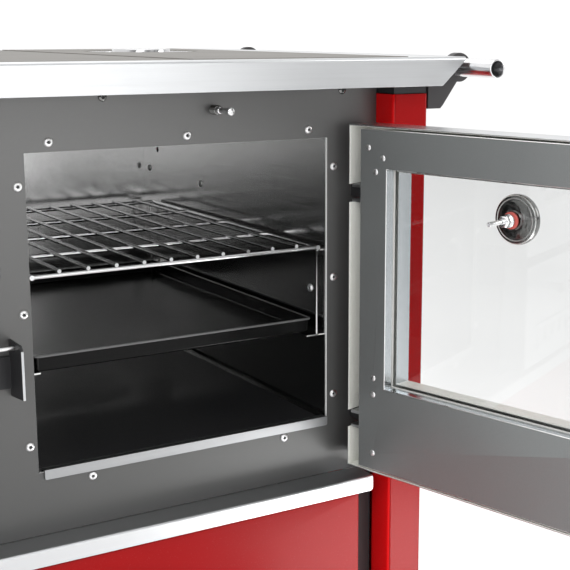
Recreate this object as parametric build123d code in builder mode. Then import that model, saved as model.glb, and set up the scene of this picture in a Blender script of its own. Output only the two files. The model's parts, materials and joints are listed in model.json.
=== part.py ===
"""Wood cookstove with an oven on the right and a firebox on the left.

Millimetres, +Z up, the front faces -Y. The origin is on the floor, in the middle of the base.
The oven door stands open at rest. Each door is described in its own directions:
x runs along the door, y points out of its face, and z is height above the floor.
"""
import os
from math import cos, pi, radians, sin

from build123d import *

os.makedirs("parts", exist_ok=True)

# ---- carcass
BODY_WIDTH = 850.0  # outer faces of the side panels
BODY_DEPTH = 580.0  # column faces to back panel
COLUMN_WIDTH = 46.0
COLUMN_PROUD = 32.0  # column faces ahead of the front panel
SIDE_SHEET = 1.5
PANEL_SHEET = 2.0
BACK_SHEET = 1.5
RAIL_SHEET = 2.0
COLUMN_BEND = 4.0
JOIN_GAP = 0.2  # between sheets that are screwed together

# ---- heights, floor to cooktop
PLINTH_HEIGHT = 80.0
DRAWER_BAY_HEIGHT = 306.0
OVEN_ABOVE_LEDGE = 67.8
OVEN_HEIGHT = 311.1
OVEN_TO_COOKTOP = 85.1
FASCIA_HEIGHT = 30.5
COLUMN_TO_FASCIA = 9.2  # dark gap above the columns

# ---- oven
OVEN_WIDTH = 334.0
OVEN_FROM_COLUMN = 64.0
OVEN_REAR = 219.0  # inner face of the back wall
LINER_SHEET = 1.2
LINER_FLANGE = 25.0
FLOOR_PLATE = 2.5

# ---- oven door
DOOR_LAP_HINGE = 44.0  # door beyond the oven opening at the hinges
DOOR_LAP_LATCH = 46.0
DOOR_HEIGHT = 380.0
DOOR_BELOW_OVEN = 53.8
DOOR_THICKNESS = 38.0
DOOR_GAP = 3.5  # front panel to the door's inner face
DOOR_SHEET = 1.5
DOOR_OPEN = 103.7  # degrees from closed to the rest pose
PIN_FROM_EDGE = 8.0
PIN_DEPTH = 20.0
PIN_RADIUS = 4.0
PIN_FIT = 0.08
STILE = 37.0
LATCH_CHANNEL = 34.0
HINGE_CHANNEL = 16.8
TOP_RAIL = 41.0
BOTTOM_RAIL = 95.0
FRAME_INSET = 3.0  # inner frame to the pan's top and bottom
GLASS_THICKNESS = 4.0
GLASS_DEPTH = 13.5
GLASS_LAP = 5.6
SEAL_THICKNESS = 1.2
LUG_THICKNESS = 12.0
LUG_WIDTH = 10.0
LUG_EYE = 7.0
NOTCH_HEIGHT = 19.5
OVEN_HINGE_LOW = 54.0  # hinge heights above the door's lower edge
OVEN_HINGE_HIGH = 306.6
RIVET_RADIUS = 1.6
RIVET_HEAD = 3.4
RIVET_DOME = 1.1  # clears the panel's screw heads when the door is closed

# ---- latch
SPINDLE_RADIUS = 5.0
SPINDLE_FIT = 0.08
SPINDLE_FROM_EDGE = 15.0
TONGUE_LENGTH = 12.0
TONGUE_WIDTH = 8.0
TONGUE_THICKNESS = 4.5
TONGUE_DEPTH = 3.0
LATCH_ABOVE_EDGE = 173.5
KEEPER_FROM_SPINDLE = 8.5
KEEPER_SHEET = 2.5
KEEPER_REACH = 36.0
KEEPER_HEIGHT = 56.0
KEEPER_OVER_PIN = 3.0
KEEPER_CORNER = 5.0
KEEPER_FLANGE = 14.0
KEEPER_PIN_RADIUS = 2.0
KEEPER_PIN_OUT = 17.0
KEEPER_PIN_UP = 11.5  # pin above the spindle
KEEPER_PIN_LENGTH = 22.0
GRIP_LENGTH = 104.0
GRIP_RADIUS = 8.0
GRIP_STANDOFF = 34.0
ROSETTE_RADIUS = 12.0
ROSETTE_THICKNESS = 4.0

# ---- thermometer
THERMO_ALONG = 204.0
THERMO_ABOVE_EDGE = 297.0
THERMO_RADIUS = 25.0
THERMO_DEPTH = 10.0
THERMO_BOSS = 1.0  # raised middle of the case's back
THERMO_FLOOR = 3.0
THERMO_WALL = 1.5
STEM_RADIUS = 2.4
STEM_REACH = 37.0  # from the glass into the oven
WASHER_RADIUS = 8.5
WASHER_THICKNESS = 2.5
NUT_RADIUS = 6.2
NUT_LENGTH = 12.0
POINTER_REST = 135.0  # degrees from the top of the dial, anticlockwise

# ---- firebox side
FIRE_DOOR_FROM_COLUMN = 20.0
FIRE_TO_OVEN_DOOR = 44.0
FIRE_DOOR_HEIGHT = 217.0
ASH_FRONT_HEIGHT = 149.0
FRONTS_GAP = 14.0
FIRE_LAP = 34.0  # door over the panel at hinge and latch side
CASING_SHEET = 4.0
CASING_REAR = 196.0
BRICK_THICKNESS = 32.0
BRICK_HEIGHT = 176.0
GRATE_THICKNESS = 14.0
ASH_LAP = 12.0
ASH_RUNNING = 4.0
FIRE_HINGE_LOW = 45.0
FIRE_HINGE_HIGH = 172.0
FIRE_LATCH_HEIGHT = 108.0

# ---- wood drawer
DRAWER_SIDE_GAP = 39.6  # column to drawer front
DRAWER_FRONT_TOP_GAP = 2.2
DRAWER_FRONT_BOTTOM_GAP = 4.0
DRAWER_FRONT_SETBACK = 2.0
DRAWER_FRONT_DEPTH = 20.0
DRAWER_BOX_DEPTH = 440.0
DRAWER_BOX_HEIGHT = 230.0
DRAWER_SHEET = 1.2
RUNNER_WIDTH = 36.0
LEDGE_LIP = 17.8
LEDGE_PROUD = 34.5
LEDGE_FROM_COLUMN = 23.6

# ---- cooktop
TOP_OVERHANG = 31.7
TOP_FRONT_OVERHANG = 25.5
TOP_REAR_OVERHANG = 10.0
TOP_SHEET = 1.5
PLATE_THICKNESS = 8.0
TOP_SIDE_MARGIN = 68.2
TOP_FRONT_MARGIN = 12.0
TOP_REAR_MARGIN = 31.5
PLATE_GAP = 0.5
PLATE_LEDGE = 12.5
SEAM_FROM_CENTRE = 135.0
RING_RADIUS = 110.0
LID_RADIUS = 70.0
LID_REBATE = 8.0
PLATE_STEP = 0.8  # right plate above the left one
OUTLET_RADIUS = 72.0
OUTLET_FROM_REAR = 166.8
COVER_GAP = 2.0
COVER_DISH_RADIUS = 58.0
COVER_DISH = 5.0
COVER_BOSS_RADIUS = 36.7
COVER_BOSS_RISE = 3.5
LIFT_CLEARANCE = 0.5

# ---- rails
RAIL_OUT = 43.0  # tube axis beyond the side panel
RAIL_BELOW_TOP = 12.3
RAIL_RADIUS = 10.0
RAIL_WALL = 1.5
RAIL_FRONT = -354.4
RAIL_REAR = 259.0
BRACKET_FRONT = -290.0
BRACKET_REAR = 190.0
BRACKET_THICKNESS = 6.0
BRACKET_DROP = 56.4
BRACKET_FOOT = 17.0
BOSS_RADIUS = 15.8
BOSS_LENGTH = 10.0

# ---- flue and damper
FLUE_RADIUS = 75.8
FLUE_WALL = 2.0
FLUE_LENGTH = 62.0
FLUE_HEIGHT = 640.0
DAMPER_FROM_OVEN_TOP = 34.2
DAMPER_ALONG_OVEN = 197.7
ROD_RADIUS = 2.5
ROD_FIT = 0.08
BUSHING_RADIUS = 5.0
BUSHING_LENGTH = 12.0
KNOB_RADIUS = 4.0
KNOB_REACH = 40.0
DAMPER_PLATE_WIDTH = 180.0
DAMPER_PLATE_LENGTH = 90.0

# ---- rack, tray and their supports
RACK_ABOVE_FLOOR = 191.7
RACK_BAR = 2.5
RACK_WIRE = 2.0
RACK_WIRES = 10
RACK_LEFT_CLEARANCE = 3.5
RACK_RIGHT_CLEARANCE = 8.0
RACK_FRONT_INSET = 6.0
RACK_DEPTH = 428.0
RACK_END_GAP = 27.3  # rim to the first wire at either side
RACK_CROSSBARS = 5
SUPPORT_WIRE = 1.3
SUPPORT_STANDOFF = 5.5
STRIP_SHEET = 1.5
TRAY_BASE_ABOVE_FLOOR = 93.5
TRAY_DEPTH = 17.0
TRAY_LENGTH = 420.0
TRAY_SIDE_CLEARANCE = 7.3
TRAY_SHEET = 1.2
TRAY_CORNER = 4.0
TRAY_RIM = 2.0
SEAT_GAP = 0.3

# ---- screws
SCREW_HEAD = 4.4
SCREW_HEAD_HEIGHT = 2.2
SCREW_SHANK = 2.0
SCREW_HOLE = 2.2

# ---- places that follow
HALF_WIDTH = BODY_WIDTH / 2
FRONT_Y = -BODY_DEPTH / 2
BACK_Y = BODY_DEPTH / 2
PANEL_Y = FRONT_Y + COLUMN_PROUD
PANEL_REAR = PANEL_Y + PANEL_SHEET
COLUMN_X = HALF_WIDTH - COLUMN_WIDTH
BACK_PANEL_Y = BACK_Y - BACK_SHEET
LEDGE_Z = PLINTH_HEIGHT + DRAWER_BAY_HEIGHT
OVEN_Z = LEDGE_Z + OVEN_ABOVE_LEDGE
OVEN_TOP = OVEN_Z + OVEN_HEIGHT
TOP_Z = OVEN_TOP + OVEN_TO_COOKTOP
FASCIA_Z = TOP_Z - FASCIA_HEIGHT
COLUMN_TOP = FASCIA_Z - COLUMN_TO_FASCIA
OVEN_RIGHT = COLUMN_X - OVEN_FROM_COLUMN
OVEN_LEFT = OVEN_RIGHT - OVEN_WIDTH
LINER_RIGHT = OVEN_RIGHT - 1.0
PLATE_BOTTOM = TOP_Z - PLATE_THICKNESS
RAIL_TOP = PLATE_BOTTOM - 4.0

DOOR_Z = OVEN_Z - DOOR_BELOW_OVEN
DOOR_TOP = DOOR_Z + DOOR_HEIGHT
DOOR_RIGHT = OVEN_RIGHT + DOOR_LAP_HINGE
DOOR_LEFT = OVEN_LEFT - DOOR_LAP_LATCH
DOOR_WIDTH = DOOR_RIGHT - DOOR_LEFT
FIRE_LEFT = -COLUMN_X + FIRE_DOOR_FROM_COLUMN
FIRE_RIGHT = DOOR_LEFT - FIRE_TO_OVEN_DOOR
FIRE_WIDTH = FIRE_RIGHT - FIRE_LEFT
FIRE_MIDDLE = (FIRE_LEFT + FIRE_RIGHT) / 2
FIRE_TOP = DOOR_TOP
FIRE_Z = FIRE_TOP - FIRE_DOOR_HEIGHT
ASH_TOP = FIRE_Z - FRONTS_GAP
ASH_Z = ASH_TOP - ASH_FRONT_HEIGHT
CASING_LEFT = FIRE_LEFT + 10.0
CASING_RIGHT = FIRE_RIGHT - 10.0
SHELF_Z = ASH_TOP + 3.0
ASH_PAN_Z = ASH_Z + 16.0
ASH_PAN_TOP = ASH_PAN_Z + 114.0
FLOOR_TOP = OVEN_Z - FLOOR_PLATE
DRAWER_HALF = COLUMN_X - DRAWER_SIDE_GAP
DRAWER_Y = FRONT_Y + DRAWER_FRONT_SETBACK
DRAWER_Z = PLINTH_HEIGHT + DRAWER_FRONT_BOTTOM_GAP
DRAWER_TOP = LEDGE_Z - LEDGE_LIP - DRAWER_FRONT_TOP_GAP
LEDGE_HALF = COLUMN_X - LEDGE_FROM_COLUMN
TOP_HALF = HALF_WIDTH + TOP_OVERHANG
TOP_FRONT = FRONT_Y - TOP_FRONT_OVERHANG
TOP_REAR = BACK_Y + TOP_REAR_OVERHANG
PLATES_HALF = TOP_HALF - TOP_SIDE_MARGIN
PLATES_FRONT = TOP_FRONT + TOP_FRONT_MARGIN
PLATES_REAR = TOP_REAR - TOP_REAR_MARGIN
SEAM_X = SEAM_FROM_CENTRE
OUTLET_X = (SEAM_X + PLATES_HALF) / 2
OUTLET_Y = PLATES_REAR - OUTLET_FROM_REAR
RING_Y = -15.0
RAIL_X = HALF_WIDTH + RAIL_OUT
RAIL_Z = TOP_Z - RAIL_BELOW_TOP
FLUE_X = OVEN_LEFT + DAMPER_ALONG_OVEN
DAMPER_Z = OVEN_TOP + DAMPER_FROM_OVEN_TOP
RACK_Z = OVEN_Z + RACK_ABOVE_FLOOR
LINER_FRONT = PANEL_REAR

# ---- directions
OUT = (0, -1, 0)
BACK = (0, 1, 0)
UP = (0, 0, 1)
RIGHT = (1, 0, 0)
LEFT = (-1, 0, 0)

BODY = Plane.XY


def door_frame(pin_x, turn, hinge_on_right):
    """Directions of a door whose hinge pin stands at pin_x, turned open by some degrees."""
    pin = Vector(pin_x, PANEL_Y - DOOR_GAP - PIN_DEPTH, 0)
    side = -1 if hinge_on_right else 1
    along = Vector(side * cos(radians(turn)), -sin(radians(turn)), 0)
    if hinge_on_right:
        corner = pin - along * PIN_FROM_EDGE
        x_dir = along
    else:
        corner = pin + along * (FIRE_WIDTH - PIN_FROM_EDGE)
        x_dir = along * -1
    outward = Vector(0, 0, 1).cross(x_dir)
    return Plane(origin=corner - outward * PIN_DEPTH, x_dir=x_dir, z_dir=(0, 0, 1))


OVEN_PIN_X = DOOR_RIGHT - PIN_FROM_EDGE
FIRE_PIN_X = FIRE_LEFT + PIN_FROM_EDGE
OVEN_DOOR = door_frame(OVEN_PIN_X, DOOR_OPEN, True)
FIRE_DOOR = door_frame(FIRE_PIN_X, 0, False)
OVEN_DOOR_CLOSED = door_frame(OVEN_PIN_X, 0, True)


def save(builder, name):
    """Label a finished piece and write it as its own file."""
    builder.part.label = name
    export_step(builder.part, f"parts/{name}.step")


def heading(frame, direction):
    """World direction of one of a frame's own directions."""
    return frame.from_local_coords(direction) - frame.origin


def facing(frame, start, along):
    """Sketch plane at a point of a frame, looking along one of its directions."""
    return Plane(origin=frame.from_local_coords(start), z_dir=heading(frame, along))


def block(frame, x, y, z, mode=Mode.ADD):
    """Square-edged block between pairs of coordinates."""
    with BuildSketch(frame.offset(z[0])) as foot:
        with Locations(((x[0] + x[1]) / 2, (y[0] + y[1]) / 2)):
            Rectangle(x[1] - x[0], y[1] - y[0])
    extrude(foot.sketch, amount=z[1] - z[0], mode=mode)


def rod(frame, start, along, radius, length, mode=Mode.ADD):
    """Round bar from a point along a direction."""
    with BuildSketch(facing(frame, start, along)) as section:
        Circle(radius)
    extrude(section.sketch, amount=length, mode=mode)


def prism(plane, corners, length, mode=Mode.ADD):
    """Flat outline with straight edges, given a thickness."""
    with BuildSketch(plane) as outline:
        with BuildLine():
            Polyline(*corners, close=True)
        make_face()
    extrude(outline.sketch, amount=length, mode=mode)


def folded_sheet(plane, corners, bend, sheet, length):
    """Sheet folded along a run of corners, with its thickness on the left of the run."""
    with BuildSketch(plane) as section:
        with BuildLine():
            FilletPolyline(*corners, radius=bend)
            offset(amount=sheet, side=Side.LEFT)
        make_face()
    extrude(section.sketch, amount=length)


def side_view(x):
    """Plane across the body at x, with its own x along Y and its own y along Z."""
    return Plane(origin=(x, 0, 0), x_dir=(0, 1, 0), z_dir=(1, 0, 0))


def front_view(y):
    """Plane across the body at y seen from the front, extruded towards the front."""
    return Plane(origin=(0, y, 0), x_dir=(1, 0, 0), z_dir=(0, -1, 0))


# ---------------------------------------------------------------- screws
OVEN_SCREWS_TOP = [OVEN_LEFT + step for step in (23.9, 168.0, OVEN_WIDTH - 23.4)]
OVEN_SCREWS_RIGHT = [OVEN_Z + step for step in (24.7, 157.9, 279.8)]
OVEN_SCREWS_LEFT = [OVEN_Z + step for step in (25.8, 157.9, 280.4)]
OVEN_SCREWS_BOTTOM = [OVEN_LEFT + step for step in (55.3, OVEN_WIDTH - 55.6)]
TOP_SCREW_INSET = 9.4
RIGHT_SCREW_INSET = 8.4
LEFT_SCREW_INSET = 7.6
BOTTOM_SCREW_INSET = 13.5
HANGER_SCREWS = (79.5, OVEN_WIDTH + 18.9)
HANGER_SCREW_DROP = 35.2

panel_screw_points = [(x, OVEN_TOP + TOP_SCREW_INSET) for x in OVEN_SCREWS_TOP]
panel_screw_points += [(OVEN_RIGHT + RIGHT_SCREW_INSET, z) for z in OVEN_SCREWS_RIGHT]
panel_screw_points += [(OVEN_LEFT - LEFT_SCREW_INSET, z) for z in OVEN_SCREWS_LEFT]
panel_screw_points += [(x, FLOOR_TOP - BOTTOM_SCREW_INSET) for x in OVEN_SCREWS_BOTTOM]
hanger_screw_points = [(OVEN_LEFT + step, TOP_Z - HANGER_SCREW_DROP) for step in HANGER_SCREWS]
wall_screw_points = [(OVEN_REAR - 18, OVEN_Z + 236), (OVEN_REAR - 175, OVEN_Z + 230)]
wall_screw_points += [(LINER_FRONT + 31, OVEN_Z + 141)]


def screw_holes(points, start, depth):
    """Clearance holes through the front sheets, from a plane towards the back."""
    for x, z in points:
        rod(BODY, (x, start, z), BACK, SCREW_HOLE, depth, Mode.SUBTRACT)


def button_screw(start, along, shank):
    """Domed screw head with a hexagon socket, and its shank behind it."""
    base = facing(BODY, start, along)
    with BuildSketch(base) as head:
        Circle(SCREW_HEAD)
    extrude(head.sketch, amount=SCREW_HEAD_HEIGHT, taper=28)
    with BuildSketch(base.offset(SCREW_HEAD_HEIGHT)) as socket:
        RegularPolygon(1.4, 6)
    extrude(socket.sketch, amount=-1.3, mode=Mode.SUBTRACT)
    with BuildSketch(base) as stem:
        Circle(SCREW_SHANK)
    extrude(stem.sketch, amount=-shank)


with BuildPart() as panel_screws:
    for x, z in panel_screw_points + hanger_screw_points:
        button_screw((x, PANEL_Y, z), OUT, 7)
    for y, z in wall_screw_points:
        button_screw((OVEN_LEFT, y, z), RIGHT, 5)
        button_screw((LINER_RIGHT, y, z), LEFT, 5)
save(panel_screws, "panel_screws")

# ---------------------------------------------------------------- carcass
TRAY_PLATE = 2.0
tray_half = HALF_WIDTH - SIDE_SHEET - JOIN_GAP
PLINTH_Y = PANEL_Y + 8.0
with BuildPart() as base_tray:
    block(BODY, (-tray_half, tray_half), (PLINTH_Y, BACK_PANEL_Y - JOIN_GAP), (0, PLINTH_HEIGHT))
    inner_x = tray_half - TRAY_PLATE
    inner_y = (PLINTH_Y + TRAY_PLATE, BACK_PANEL_Y - JOIN_GAP - TRAY_PLATE)
    block(BODY, (-inner_x, inner_x), inner_y, (TRAY_PLATE, PLINTH_HEIGHT + 1), Mode.SUBTRACT)
    front_edges = base_tray.edges().filter_by(Axis.X).group_by(Axis.Y)[0]
    fillet(front_edges.sort_by(Axis.Z)[0], TRAY_PLATE)
save(base_tray, "base_tray")

SIDE_FOOT = 1.0  # side panels clear the floor


def side_panel(side):
    """Side sheet folded round the front column, returning to the front panel."""
    run = [
        (side * HALF_WIDTH, BACK_PANEL_Y - JOIN_GAP),
        (side * HALF_WIDTH, FRONT_Y),
        (side * COLUMN_X, FRONT_Y),
        (side * COLUMN_X, PANEL_REAR),
    ]
    if side > 0:
        run = run[::-1]
    with BuildPart() as panel:
        folded_sheet(BODY.offset(SIDE_FOOT), run, COLUMN_BEND, SIDE_SHEET, COLUMN_TOP - SIDE_FOOT)
    return panel


save(side_panel(-1), "left_side_panel")
save(side_panel(1), "right_side_panel")

HATCH = (90.0, 60.0)
HATCH_X = FLUE_X
HATCH_Z = OVEN_Z + 20.0
with BuildPart() as back_panel:
    block(BODY, (-HALF_WIDTH, HALF_WIDTH), (BACK_PANEL_Y, BACK_Y), (SIDE_FOOT, RAIL_TOP))
    rod(BODY, (FLUE_X, BACK_PANEL_Y, FLUE_HEIGHT), BACK, FLUE_RADIUS + FLUE_WALL + JOIN_GAP,
        BACK_SHEET, Mode.SUBTRACT)
    block(BODY, (HATCH_X - HATCH[0], HATCH_X + HATCH[0]), (BACK_PANEL_Y - 1, BACK_Y + 1),
          (HATCH_Z - HATCH[1] / 2, HATCH_Z + HATCH[1] / 2), Mode.SUBTRACT)
save(back_panel, "back_panel")

COVER_LAP = 14.0
with BuildPart() as soot_cover:
    block(BODY, (HATCH_X - HATCH[0] - COVER_LAP, HATCH_X + HATCH[0] + COVER_LAP),
          (BACK_Y, BACK_Y + 2), (HATCH_Z - HATCH[1] / 2 - COVER_LAP, HATCH_Z + HATCH[1] / 2 + COVER_LAP))
    block(BODY, (HATCH_X - HATCH[0] + 1, HATCH_X + HATCH[0] - 1), (BACK_Y - 8, BACK_Y),
          (HATCH_Z - HATCH[1] / 2 + 1, HATCH_Z + HATCH[1] / 2 - 1))
    for side in (-1, 1):
        rod(BODY, (HATCH_X + side * (HATCH[0] - 15), BACK_Y + 2, HATCH_Z), BACK, 9, 9)
save(soot_cover, "soot_cover")

fire_opening = (FIRE_LEFT + FIRE_LAP, FIRE_RIGHT - FIRE_LAP - 12.0)
FIRE_OPENING_LAP = 12.0
ash_opening = (CASING_LEFT + 2.0, CASING_RIGHT - 2.0)
with BuildPart() as front_panel:
    panel_half = COLUMN_X - JOIN_GAP
    block(BODY, (-panel_half, panel_half), (PANEL_Y, PANEL_REAR), (LEDGE_Z + JOIN_GAP, RAIL_TOP))
    through = (PANEL_Y - 1, PANEL_REAR + 1)
    block(BODY, (OVEN_LEFT, OVEN_RIGHT), through, (FLOOR_TOP, OVEN_TOP), Mode.SUBTRACT)
    block(BODY, fire_opening, through, (FIRE_Z + FIRE_OPENING_LAP, FIRE_TOP - FIRE_OPENING_LAP),
          Mode.SUBTRACT)
    block(BODY, ash_opening, through, (ASH_PAN_Z - SEAT_GAP, ASH_TOP - ASH_LAP), Mode.SUBTRACT)
    rod(BODY, (FLUE_X, PANEL_Y - 1, DAMPER_Z), BACK, 4.0, 6, Mode.SUBTRACT)
    screw_holes(panel_screw_points + hanger_screw_points, PANEL_Y - 1, 6)
save(front_panel, "front_panel")

with BuildPart() as top_rail:
    rail_half = HALF_WIDTH - 1.0
    shoulder = COLUMN_X + 2.0
    rail_front = FRONT_Y + 2.0
    rail_back = BACK_PANEL_Y - JOIN_GAP
    outline = [
        (-rail_half, rail_front), (-shoulder, rail_front), (-shoulder, PANEL_REAR),
        (shoulder, PANEL_REAR), (shoulder, rail_front), (rail_half, rail_front),
        (rail_half, rail_back), (-rail_half, rail_back),
    ]
    rail_z = COLUMN_TOP + JOIN_GAP
    with BuildSketch(BODY.offset(rail_z)) as ring_section:
        with BuildLine():
            Polyline(*outline, close=True)
        make_face()
        offset(amount=-RAIL_SHEET, kind=Kind.INTERSECTION, mode=Mode.SUBTRACT)
    extrude(ring_section.sketch, amount=RAIL_TOP - rail_z)
    with BuildSketch(BODY.offset(RAIL_TOP - RAIL_SHEET)) as lip_section:
        with BuildLine():
            Polyline(*outline, close=True)
        make_face()
        offset(amount=-18.0, kind=Kind.INTERSECTION, mode=Mode.SUBTRACT)
    extrude(lip_section.sketch, amount=RAIL_SHEET)
    screw_holes(hanger_screw_points, PANEL_Y - 1, 12)
save(top_rail, "top_rail")

FASCIA_BEND = 3.0
with BuildPart() as top_frame:
    run = [(TOP_REAR, TOP_Z - 15.0), (TOP_REAR, TOP_Z), (TOP_FRONT, TOP_Z), (TOP_FRONT, FASCIA_Z)]
    folded_sheet(side_view(-TOP_HALF), run, FASCIA_BEND, TOP_SHEET, 2 * TOP_HALF)
    for side in (-1, 1):
        cut = [
            (side * (HALF_WIDTH + 0.8), FASCIA_Z - 1), (side * (HALF_WIDTH + 0.8), FASCIA_Z),
            (side * TOP_HALF, TOP_Z - FASCIA_BEND), (side * (TOP_HALF + 5), TOP_Z - FASCIA_BEND),
            (side * (TOP_HALF + 5), FASCIA_Z - 1),
        ]
        prism(front_view(TOP_REAR + 1), cut, TOP_REAR - TOP_FRONT + 5, Mode.SUBTRACT)
    tray_half_x = PLATES_HALF + PLATE_GAP
    tray_y = (PLATES_FRONT - PLATE_GAP, PLATES_REAR + PLATE_GAP)
    block(BODY, (-tray_half_x - 3, tray_half_x + 3), (tray_y[0] - 3, tray_y[1] + 3),
          (RAIL_TOP, TOP_Z - TOP_SHEET / 2))
    block(BODY, (-tray_half_x, tray_half_x), tray_y, (PLATE_BOTTOM, TOP_Z + 1), Mode.SUBTRACT)
    block(BODY, (-PLATES_HALF + PLATE_LEDGE, PLATES_HALF - PLATE_LEDGE),
          (PLATES_FRONT + PLATE_LEDGE, PLATES_REAR - PLATE_LEDGE),
          (RAIL_TOP - 1, PLATE_BOTTOM + 1), Mode.SUBTRACT)
    for side in (-1, 1):
        for start in (BRACKET_FRONT, BRACKET_REAR):
            rod(BODY, (side * RAIL_X, start - 1, RAIL_Z), BACK, BOSS_RADIUS + 0.7,
                BOSS_LENGTH + 2, Mode.SUBTRACT)
save(top_frame, "top_frame")

with BuildPart() as ledge_trim:
    run = [
        (PANEL_Y, LEDGE_Z), (PANEL_Y - LEDGE_PROUD, LEDGE_Z), (PANEL_Y - LEDGE_PROUD, LEDGE_Z - LEDGE_LIP),
    ]
    folded_sheet(side_view(-LEDGE_HALF), run, 2.5, 1.5, 2 * LEDGE_HALF)
    lip_corners = ledge_trim.edges().filter_by(Axis.Y).group_by(Axis.Z)[0]
    fillet(lip_corners, 4.0)
save(ledge_trim, "ledge_trim")

with BuildPart() as sill_strip:
    block(BODY, (OVEN_LEFT + 5.0, OVEN_RIGHT - 0.5), (PANEL_Y - 2.5, PANEL_Y), (OVEN_Z - 10.3, OVEN_Z))
    block(BODY, (OVEN_LEFT + 5.0, LINER_RIGHT - 1.0), (PANEL_Y - 2.5, PANEL_REAR + 4.0),
          (OVEN_Z - 1.5, OVEN_Z))
    fillet(sill_strip.edges().filter_by(Axis.Y).group_by(Axis.Z)[0], 2.0)
save(sill_strip, "sill_strip")

BAY_SHEET = 1.5
FILLER_SETBACK = 6.0
RUNNER_Z = DRAWER_Z + 7.7
with BuildPart() as drawer_bay_sides:
    for side in (-1, 1):
        near = side * (DRAWER_HALF + 2.0)
        wall_x = sorted((near, near + side * BAY_SHEET))
        strip_x = sorted((near, side * (COLUMN_X - JOIN_GAP)))
        runner_x = sorted((near, near - side * RUNNER_WIDTH))
        strip_y = PANEL_Y + FILLER_SETBACK
        floor_gap = PLINTH_HEIGHT + 0.5
        block(BODY, strip_x, (strip_y, strip_y + BAY_SHEET), (floor_gap, LEDGE_Z - 1.5))
        block(BODY, wall_x, (strip_y, 230.0), (floor_gap, LEDGE_Z - LEDGE_LIP))
        block(BODY, wall_x, (PLINTH_Y + 3.0, 230.0), (TRAY_PLATE, floor_gap))
        block(BODY, runner_x, (strip_y + BAY_SHEET, 230.0), (RUNNER_Z - BAY_SHEET, RUNNER_Z))
save(drawer_bay_sides, "drawer_bay_sides")

# ---------------------------------------------------------------- oven
with BuildPart() as oven_liner:
    out = LINER_SHEET
    block(BODY, (OVEN_LEFT - out, LINER_RIGHT + out), (LINER_FRONT, OVEN_REAR + out),
          (FLOOR_TOP - out, OVEN_TOP + out))
    block(BODY, (OVEN_LEFT - LINER_FLANGE, OVEN_RIGHT + LINER_FLANGE), (LINER_FRONT, LINER_FRONT + out),
          (FLOOR_TOP - LINER_FLANGE, OVEN_TOP + LINER_FLANGE))
    block(BODY, (OVEN_LEFT, LINER_RIGHT), (LINER_FRONT - 1, OVEN_REAR), (FLOOR_TOP, OVEN_TOP),
          Mode.SUBTRACT)
    screw_holes(panel_screw_points, PANEL_Y - 1, 6)
    for y, z in wall_screw_points:
        rod(BODY, (OVEN_LEFT - 3, y, z), RIGHT, SCREW_HOLE, 6, Mode.SUBTRACT)
        rod(BODY, (LINER_RIGHT + 3, y, z), LEFT, SCREW_HOLE, 6, Mode.SUBTRACT)
    rod(BODY, (LINER_RIGHT + 3, OVEN_REAR - 45.5, OVEN_Z + 263), LEFT, 3.5, 6, Mode.SUBTRACT)
save(oven_liner, "oven_liner")

with BuildPart() as oven_floor_plate:
    block(BODY, (OVEN_LEFT + 1.0, LINER_RIGHT - 8.3), (PANEL_REAR + 4.5, OVEN_REAR - 1.0),
          (FLOOR_TOP, OVEN_Z))
save(oven_floor_plate, "oven_floor_plate")

SUPPORT_FRONT = LINER_FRONT + 9.0
SUPPORT_REAR = OVEN_REAR - 29.0
LEFT_SETBACK = 10.0  # left support starts further back
LEFT_STRIP = 13.0
RIGHT_STRIP = 19.8
WIRE_Z = RACK_Z - RACK_BAR - SEAT_GAP - SUPPORT_WIRE
STRIP_Z = OVEN_Z + TRAY_BASE_ABOVE_FLOOR - SEAT_GAP
with BuildPart() as side_supports:
    sides = (
        (OVEN_LEFT, 1, SUPPORT_FRONT + LEFT_SETBACK, LEFT_STRIP),
        (LINER_RIGHT, -1, SUPPORT_FRONT, RIGHT_STRIP),
    )
    for wall_x, inward, support_front, strip_width in sides:
        wire_x = wall_x + inward * SUPPORT_STANDOFF
        strip_x = sorted((wall_x, wall_x + inward * strip_width))
        into_wall = (-inward, 0, 0)
        rod(BODY, (wire_x, support_front - SUPPORT_WIRE, WIRE_Z), BACK, SUPPORT_WIRE,
            SUPPORT_REAR - support_front + 2 * SUPPORT_WIRE)
        for y in (support_front, SUPPORT_REAR):
            rod(BODY, (wire_x, y, STRIP_Z - STRIP_SHEET), UP, SUPPORT_WIRE - 0.1,
                WIRE_Z - STRIP_Z + STRIP_SHEET)
            rod(BODY, (wire_x, y, WIRE_Z), into_wall, SUPPORT_WIRE - 0.2, SUPPORT_STANDOFF)
        block(BODY, strip_x, (support_front - 2, SUPPORT_REAR + 6), (STRIP_Z - STRIP_SHEET, STRIP_Z))
save(side_supports, "side_supports")

rack_left = OVEN_LEFT + RACK_LEFT_CLEARANCE
rack_right = LINER_RIGHT - RACK_RIGHT_CLEARANCE
rack_front = PANEL_Y + RACK_FRONT_INSET
rack_rear = rack_front + RACK_DEPTH
with BuildPart() as oven_rack:
    wire_rise = RACK_BAR + RACK_WIRE - 0.6
    for index in range(RACK_CROSSBARS):
        y = rack_front + index * RACK_DEPTH / (RACK_CROSSBARS - 1)
        rod(BODY, (rack_left, y, RACK_Z), RIGHT, RACK_BAR, rack_right - rack_left)
    for x in (rack_left, rack_right):
        rod(BODY, (x, rack_front, RACK_Z), BACK, RACK_BAR + 0.001, RACK_DEPTH)
        for y in (rack_front, rack_rear):
            with Locations((x, y, RACK_Z)):
                Sphere(RACK_BAR + 0.002)
    pitch = (rack_right - rack_left - 2 * RACK_END_GAP) / (RACK_WIRES - 1)
    for index in range(RACK_WIRES):
        start = (rack_left + RACK_END_GAP + index * pitch, rack_front - RACK_BAR, RACK_Z + wire_rise)
        rod(BODY, start, BACK, RACK_WIRE, RACK_DEPTH + 2 * RACK_BAR)
save(oven_rack, "oven_rack")

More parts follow.
